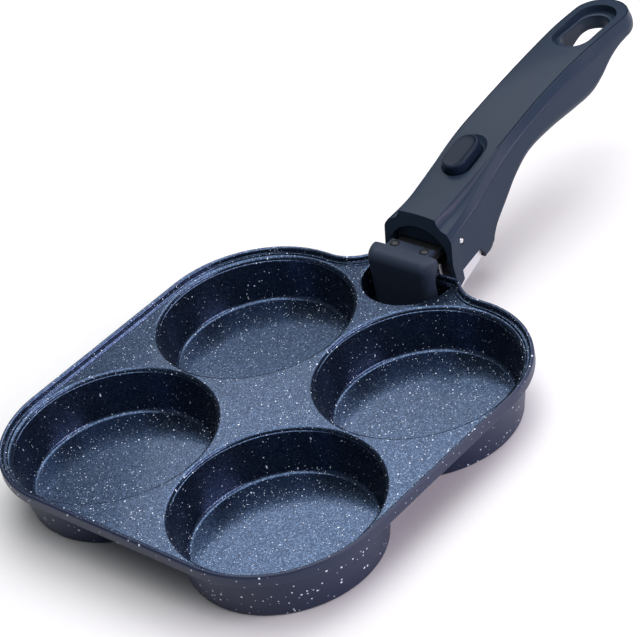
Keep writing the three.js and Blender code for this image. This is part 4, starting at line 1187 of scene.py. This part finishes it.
# Release button
def button_cap():
    """Dished button cap with a rounded edge"""
    brow = arc((0, BUTTON_PROUD - BUTTON_EDGE_R), BUTTON_EDGE_R, 0, QUARTER, ROUND_STEPS)
    dish_from = BUTTON_EDGE_R + BUTTON_BROW
    form = [(BUTTON_FOOT_EDGE, -BUTTON_SKIRT), (0, -BUTTON_SKIRT + BUTTON_FOOT_EDGE)]
    form += [(BUTTON_EDGE_R - r, z) for r, z in brow]
    for share in BUTTON_DISH_STEPS:
        inset = dish_from + (BUTTON_HALF - dish_from) * share
        sunk = BUTTON_DISH_DEPTH * (1 - (1 - share) ** BUTTON_DISH_POWER)
        form.append((inset, BUTTON_PROUD - sunk))
    return button_form([(z, BUTTON_HALF - inset, BUTTON_HALF_L - inset, 0) for inset, z in form])


def button_skin():
    """Button cap with the stem of the CAD button under it"""
    cap = body_of("button_skin", button_cap())
    stem = copy_of("release_button", "stem")
    place = button_place()
    level = place @ Vector((0, 0, -BUTTON_SKIRT - APART))
    up = place.to_3x3() @ Vector((0, 0, 1))
    with editing(stem) as bm:
        parts = list(bm.verts) + list(bm.edges) + list(bm.faces)
        bmesh.ops.bisect_plane(bm, geom=parts, plane_co=level, plane_no=up, clear_outer=True)
        rims = [edge for edge in bm.edges if len(edge.link_faces) == 1]
        bmesh.ops.holes_fill(bm, edges=rims)
    with editing(cap) as bm:
        bm.from_mesh(stem.data)
    bpy.data.objects.remove(stem)
    soften(cap, 0, BUTTON_SHARP_ANGLE)
    return cap


class EGGPAN_OT_button(bpy.types.Operator):
    """Builds the release button with its stem"""

    bl_idname = "egg_pan.button"
    bl_label = "Release button"

    def execute(self, context):
        plastic = finish_of(context.scene.egg_pan_handle, "moulded_button")
        settle(button_skin(), HANDLE_PLACE, "button", "handle_plastic", plastic, "release_button")
        return {"FINISHED"}


# Clamp
def boot_skin(settings):
    """Jaw boot: front plate with a rounded brow and corners, haunch and riveted flange"""
    foot = BOOT_TOP_Z - BOOT_DROP
    haunch_z = BOOT_TOP_Z - BOOT_BACK_H - BOOT_HAUNCH_H
    flat = BOOT_HALF - BOOT_FRONT_R
    edge_y, edge_z = BOOT_FOOT_EDGE
    turn = arc((0, 0), 1, 0, QUARTER, BOOT_STEPS)
    half_steps = [flat + BOOT_FRONT_R * w for _, w in turn]
    rings = []
    for x in [-x for x in reversed(half_steps)] + half_steps:
        reach = max(abs(x) - flat, 0)
        front = BOOT_FRONT + BOOT_FRONT_R - sqrt(max(BOOT_FRONT_R ** 2 - reach ** 2, 0))
        top = BOOT_TOP_Z - BOOT_END_DROP * (front - BOOT_FRONT) / BOOT_FRONT_R
        depth = min(BOOT_BROW_R, max(BOOT_BACK - BOOT_OVERLAP - front, BOOT_BROW_LEAST))
        brow = [(front + depth * (1 - u), top - BOOT_BROW_R * (1 - w)) for u, w in turn]
        plate_back = max(BOOT_PLATE_BACK, front + BOOT_END_T)
        line = [(plate_back, haunch_z), (plate_back, foot + edge_z), (plate_back - edge_y, foot)]
        line += [(front + edge_y, foot), (front, foot + edge_z), *brow]
        line += [(BOOT_BACK, top), (BOOT_BACK, BOOT_TOP_Z - BOOT_BACK_H)]
        rings.append([(x, y, z) for y, z in line])
    body = body_of("jaw_boot_skin", skin(rings))
    room = STRIP_HALF + FIT
    ceiling = STRIP_TOP_Z + FIT
    flange_y = (BOOT_BACK - BOOT_OVERLAP, BOOT_FLANGE_END)
    flange = box((-STRIP_HALF, STRIP_HALF), flange_y, (ceiling, ceiling + BOOT_FLANGE_T))
    combine(body, box((-room, room), (BOOT_PLATE_BACK, FAR), (-FAR, ceiling)), "DIFFERENCE")
    combine(body, flange, "UNION")
    for side in (-RIVET_X, RIVET_X):
        combine(body, bore(RIVET_R + FIT, 0, (side, RIVET_AT)), "DIFFERENCE")
    soften(body, settings.edge_round / MM)
    return body


def rivet(x):
    """Domed rivet through the boot's flange and the strip"""
    head_z = STRIP_TOP_Z + 2 * FIT + BOOT_FLANGE_T
    foot_z = STRIP_TOP_Z - STRIP_T
    profile = [(0, foot_z), (RIVET_R, foot_z), (RIVET_R, head_z), (RIVET_HEAD_R - RIVET_EDGE, head_z)]
    for u, w in arc((0, 0), 1, 0, QUARTER, DOME_STEPS)[:-1]:
        profile.append((RIVET_HEAD_R * u, head_z + RIVET_HEAD_H * w))
    profile.append((0, head_z + RIVET_HEAD_H))
    return spin(profile, PIN_STEPS, (x, RIVET_AT))


class EGGPAN_OT_clamp(bpy.types.Operator):
    """Builds the jaw boot and its rivets and dresses the clamp's other pieces"""

    bl_idname = "egg_pan.clamp"
    bl_label = "Clamp"

    def execute(self, context):
        settings = context.scene.egg_pan_handle
        rubber = finish_of(settings, "jaw_rubber")
        steel = finish_of(settings, "brushed_steel")
        dark = finish_of(settings, "blackened_steel")
        cover = finish_of(settings, "moulded_cover")
        settle(boot_skin(settings), HANDLE_PLACE, "jaw", "black_rubber", rubber, "jaw_boot")
        # Painted shade: the rivets take the blackened steel rather than bright steel, so they stay dark
        # in the shaded mouth behind the jaw
        for number, x in enumerate((-RIVET_X, RIVET_X), 1):
            piece = body_of(f"rivet_skin_{number}", rivet(x))
            soften(piece, 0)
            settle(piece, HANDLE_PLACE, "jaw", "black_steel", dark, f"jaw_rivet_{number}")
        dress("support_bracket", "handle", "bright_steel", steel, width=0.3)
        dress("guide_block", "handle", "cover_plastic", cover, width=0.3)
        dress("jaw_carriage", "jaw", "black_steel", dark, width=0.25)
        dress("jaw_pad", "jaw", "black_rubber", rubber, width=0.3)
        dress("lock_plate", "lock", "black_steel", dark, width=0.2)
        return {"FINISHED"}


# Pins and screws
class EGGPAN_OT_fasteners(bpy.types.Operator):
    """Builds the pins and the cover screws"""

    bl_idname = "egg_pan.fasteners"
    bl_label = "Pins and screws"

    def execute(self, context):
        steel = finish_of(context.scene.egg_pan_handle, "brushed_steel")
        lying = Matrix.Rotation(QUARTER, 4, "Y") @ Matrix.Scale(MM, 4)
        for name in ("bracket_pin", "trigger_pin", "lock_pin"):
            low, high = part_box(name)
            middle = (low + high) / 2
            radius = (high.z - low.z) / 2 / MM
            half = (high.x - low.x) / 2 / MM
            profile = [(0, -half), (radius - PIN_EDGE, -half), (radius, -half + PIN_EDGE)]
            profile += [(radius, half - PIN_EDGE), (radius - PIN_EDGE, half), (0, half)]
            piece = body_of(name + "_skin", spin(profile, PIN_STEPS))
            soften(piece, 0)
            settle(piece, Matrix.Translation(middle) @ lying, "handle", "bright_steel", steel, name)
        for number in (1, 2):
            name = f"cover_screw_skin_{number}"
            dress(f"cover_screw_{number}", "handle", "bright_steel", steel, SCREW_EDGE, name)
        return {"FINISHED"}


# Springs
class EGGPAN_OT_springs(bpy.types.Operator):
    """Winds the three springs"""

    bl_idname = "egg_pan.springs"
    bl_label = "Springs"

    def execute(self, context):
        settings = context.scene.egg_pan_handle
        steel = finish_of(settings, "brushed_steel")
        along_y = Matrix.Rotation(-QUARTER, 4, "X")
        lean = button_place().to_3x3().to_4x4()
        rows = (
            ("jaw_spring", JAW_SPRING, along_y, "jaw_slide", -1),
            ("button_spring", BUTTON_SPRING, lean, "button_press", -1),
            ("lock_spring", LOCK_SPRING, along_y, "lock_plate_tilt", 1),
        )
        for name, (radius, wire, turns, keep), turn, joint, seat_end in rows:
            low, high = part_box(name)
            middle = (low + high) / 2
            axis = turn.to_3x3() @ Vector((0, 0, 1))
            corners = [v.co.dot(axis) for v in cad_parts[name].data.vertices]
            span = (max(corners) - min(corners)) / MM
            values = {
                "Radius": float(radius),
                "Wire": float(wire),
                "Turns": float(turns),
                "Length": span - 2 * wire,
                "Sides": settings.wire_sides,
                "Material": steel,
            }
            coil = grow(name + "_coil", coil_spring(), values)
            shade(coil, WIRE_SHARP_ANGLE)
            coil.data.transform(Matrix.Translation((0, 0, wire - span / 2)))
            place = Matrix.Translation(middle) @ turn @ Matrix.Scale(MM, 4)
            settle(coil, place, "handle", "bright_steel", steel, name)
            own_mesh(coil)
        return {"FINISHED"}


# Stage
def area_light(name, direction, distance, size, tint, energy):
    """Rectangular softbox aimed at the object"""
    data = bpy.data.lights.new(name, "AREA")
    data.shape = "RECTANGLE"
    data.size, data.size_y = size
    data.energy = energy
    data.color = tint
    light = new_object(name, data)
    light.location = CAMERA_AIM + Vector(direction).normalized() * distance
    light.rotation_euler = (CAMERA_AIM - light.location).to_track_quat("-Z", "Y").to_euler()


def place_camera(lens):
    """Camera that looks at its aim from the photograph's direction, rolled like the photograph"""
    data = bpy.data.cameras.new("camera")
    data.lens = lens
    data.sensor_width = CAMERA_SENSOR
    camera = new_object("camera", data)
    heading = Matrix.Rotation(CAMERA_AZIMUTH, 4, "Z")
    tilt = Matrix.Rotation(QUARTER - CAMERA_ELEVATION, 4, "X")
    roll = Matrix.Rotation(-CAMERA_ROLL, 4, "Z")
    back = Matrix.Translation((0, 0, CAMERA_DISTANCE))
    camera.matrix_world = Matrix.Translation(CAMERA_AIM) @ heading @ tilt @ roll @ back
    bpy.context.scene.camera = camera


def floor_material(tint):
    made, tree, where = new_material("studio_floor")
    tone = noise(tree, where, FLOOR_TONE_PER_METRE, detail=2.0)
    principled(tree, Base_Color=mixed(tree, tone, darker(tint, 0.985), tint), Roughness=0.8)
    return made


class EGGPAN_OT_stage(bpy.types.Operator):
    """Sets the floor, the soft lights and the camera"""

    bl_idname = "egg_pan.stage"
    bl_label = "Stage"

    def execute(self, context):
        stage = context.scene.egg_pan_stage
        bm = bmesh.new()
        bmesh.ops.create_grid(bm, x_segments=1, y_segments=1, size=FLOOR_HALF)
        floor = body_of("floor", bm)
        floor.data.materials.append(floor_material(stage.floor))
        powers = (stage.back_power, stage.top_power, stage.side_power, stage.strip_power)
        for light, energy in zip(LIGHTS, powers):
            area_light(*light, energy)
        world = bpy.data.worlds.new("studio")
        world.use_nodes = True
        sky = world.node_tree.nodes["Background"]
        fill(world.node_tree, sky, {"Color": SKY_COLOUR, "Strength": SKY_STRENGTH})
        context.scene.world = world
        context.scene.view_settings.view_transform = "Standard"
        place_camera(stage.lens)
        return {"FINISHED"}


class EGGPAN_PT_panel(bpy.types.Panel):
    """Sidebar panel with the settings and the steps"""

    bl_idname = "EGGPAN_PT_panel"
    bl_label = "Egg pan"
    bl_space_type = "VIEW_3D"
    bl_region_type = "UI"
    bl_category = "Egg pan"

    def draw(self, context):
        scene = context.scene
        for settings in (scene.egg_pan_coating, scene.egg_pan_handle, scene.egg_pan_stage):
            column = self.layout.column()
            for name in settings.__annotations__:
                column.prop(settings, name)
        for operator in OPERATORS:
            self.layout.operator(operator.bl_idname)


OPERATORS = (
    EGGPAN_OT_pan,
    EGGPAN_OT_handle,
    EGGPAN_OT_button,
    EGGPAN_OT_clamp,
    EGGPAN_OT_fasteners,
    EGGPAN_OT_springs,
    EGGPAN_OT_stage,
)
CLASSES = (EggPanCoating, EggPanHandle, EggPanStage, *OPERATORS, EGGPAN_PT_panel)


def register():
    for kind in CLASSES:
        bpy.utils.register_class(kind)
    bpy.types.Scene.egg_pan_coating = PointerProperty(type=EggPanCoating)
    bpy.types.Scene.egg_pan_handle = PointerProperty(type=EggPanHandle)
    bpy.types.Scene.egg_pan_stage = PointerProperty(type=EggPanStage)


def unregister():
    del bpy.types.Scene.egg_pan_stage
    del bpy.types.Scene.egg_pan_handle
    del bpy.types.Scene.egg_pan_coating
    for kind in reversed(CLASSES):
        bpy.utils.unregister_class(kind)


def main():
    register()
    bpy.ops.egg_pan.pan()
    bpy.ops.egg_pan.handle()
    bpy.ops.egg_pan.button()
    bpy.ops.egg_pan.clamp()
    bpy.ops.egg_pan.fasteners()
    bpy.ops.egg_pan.springs()
    bpy.ops.egg_pan.stage()


if __name__ == "__main__":
    main()
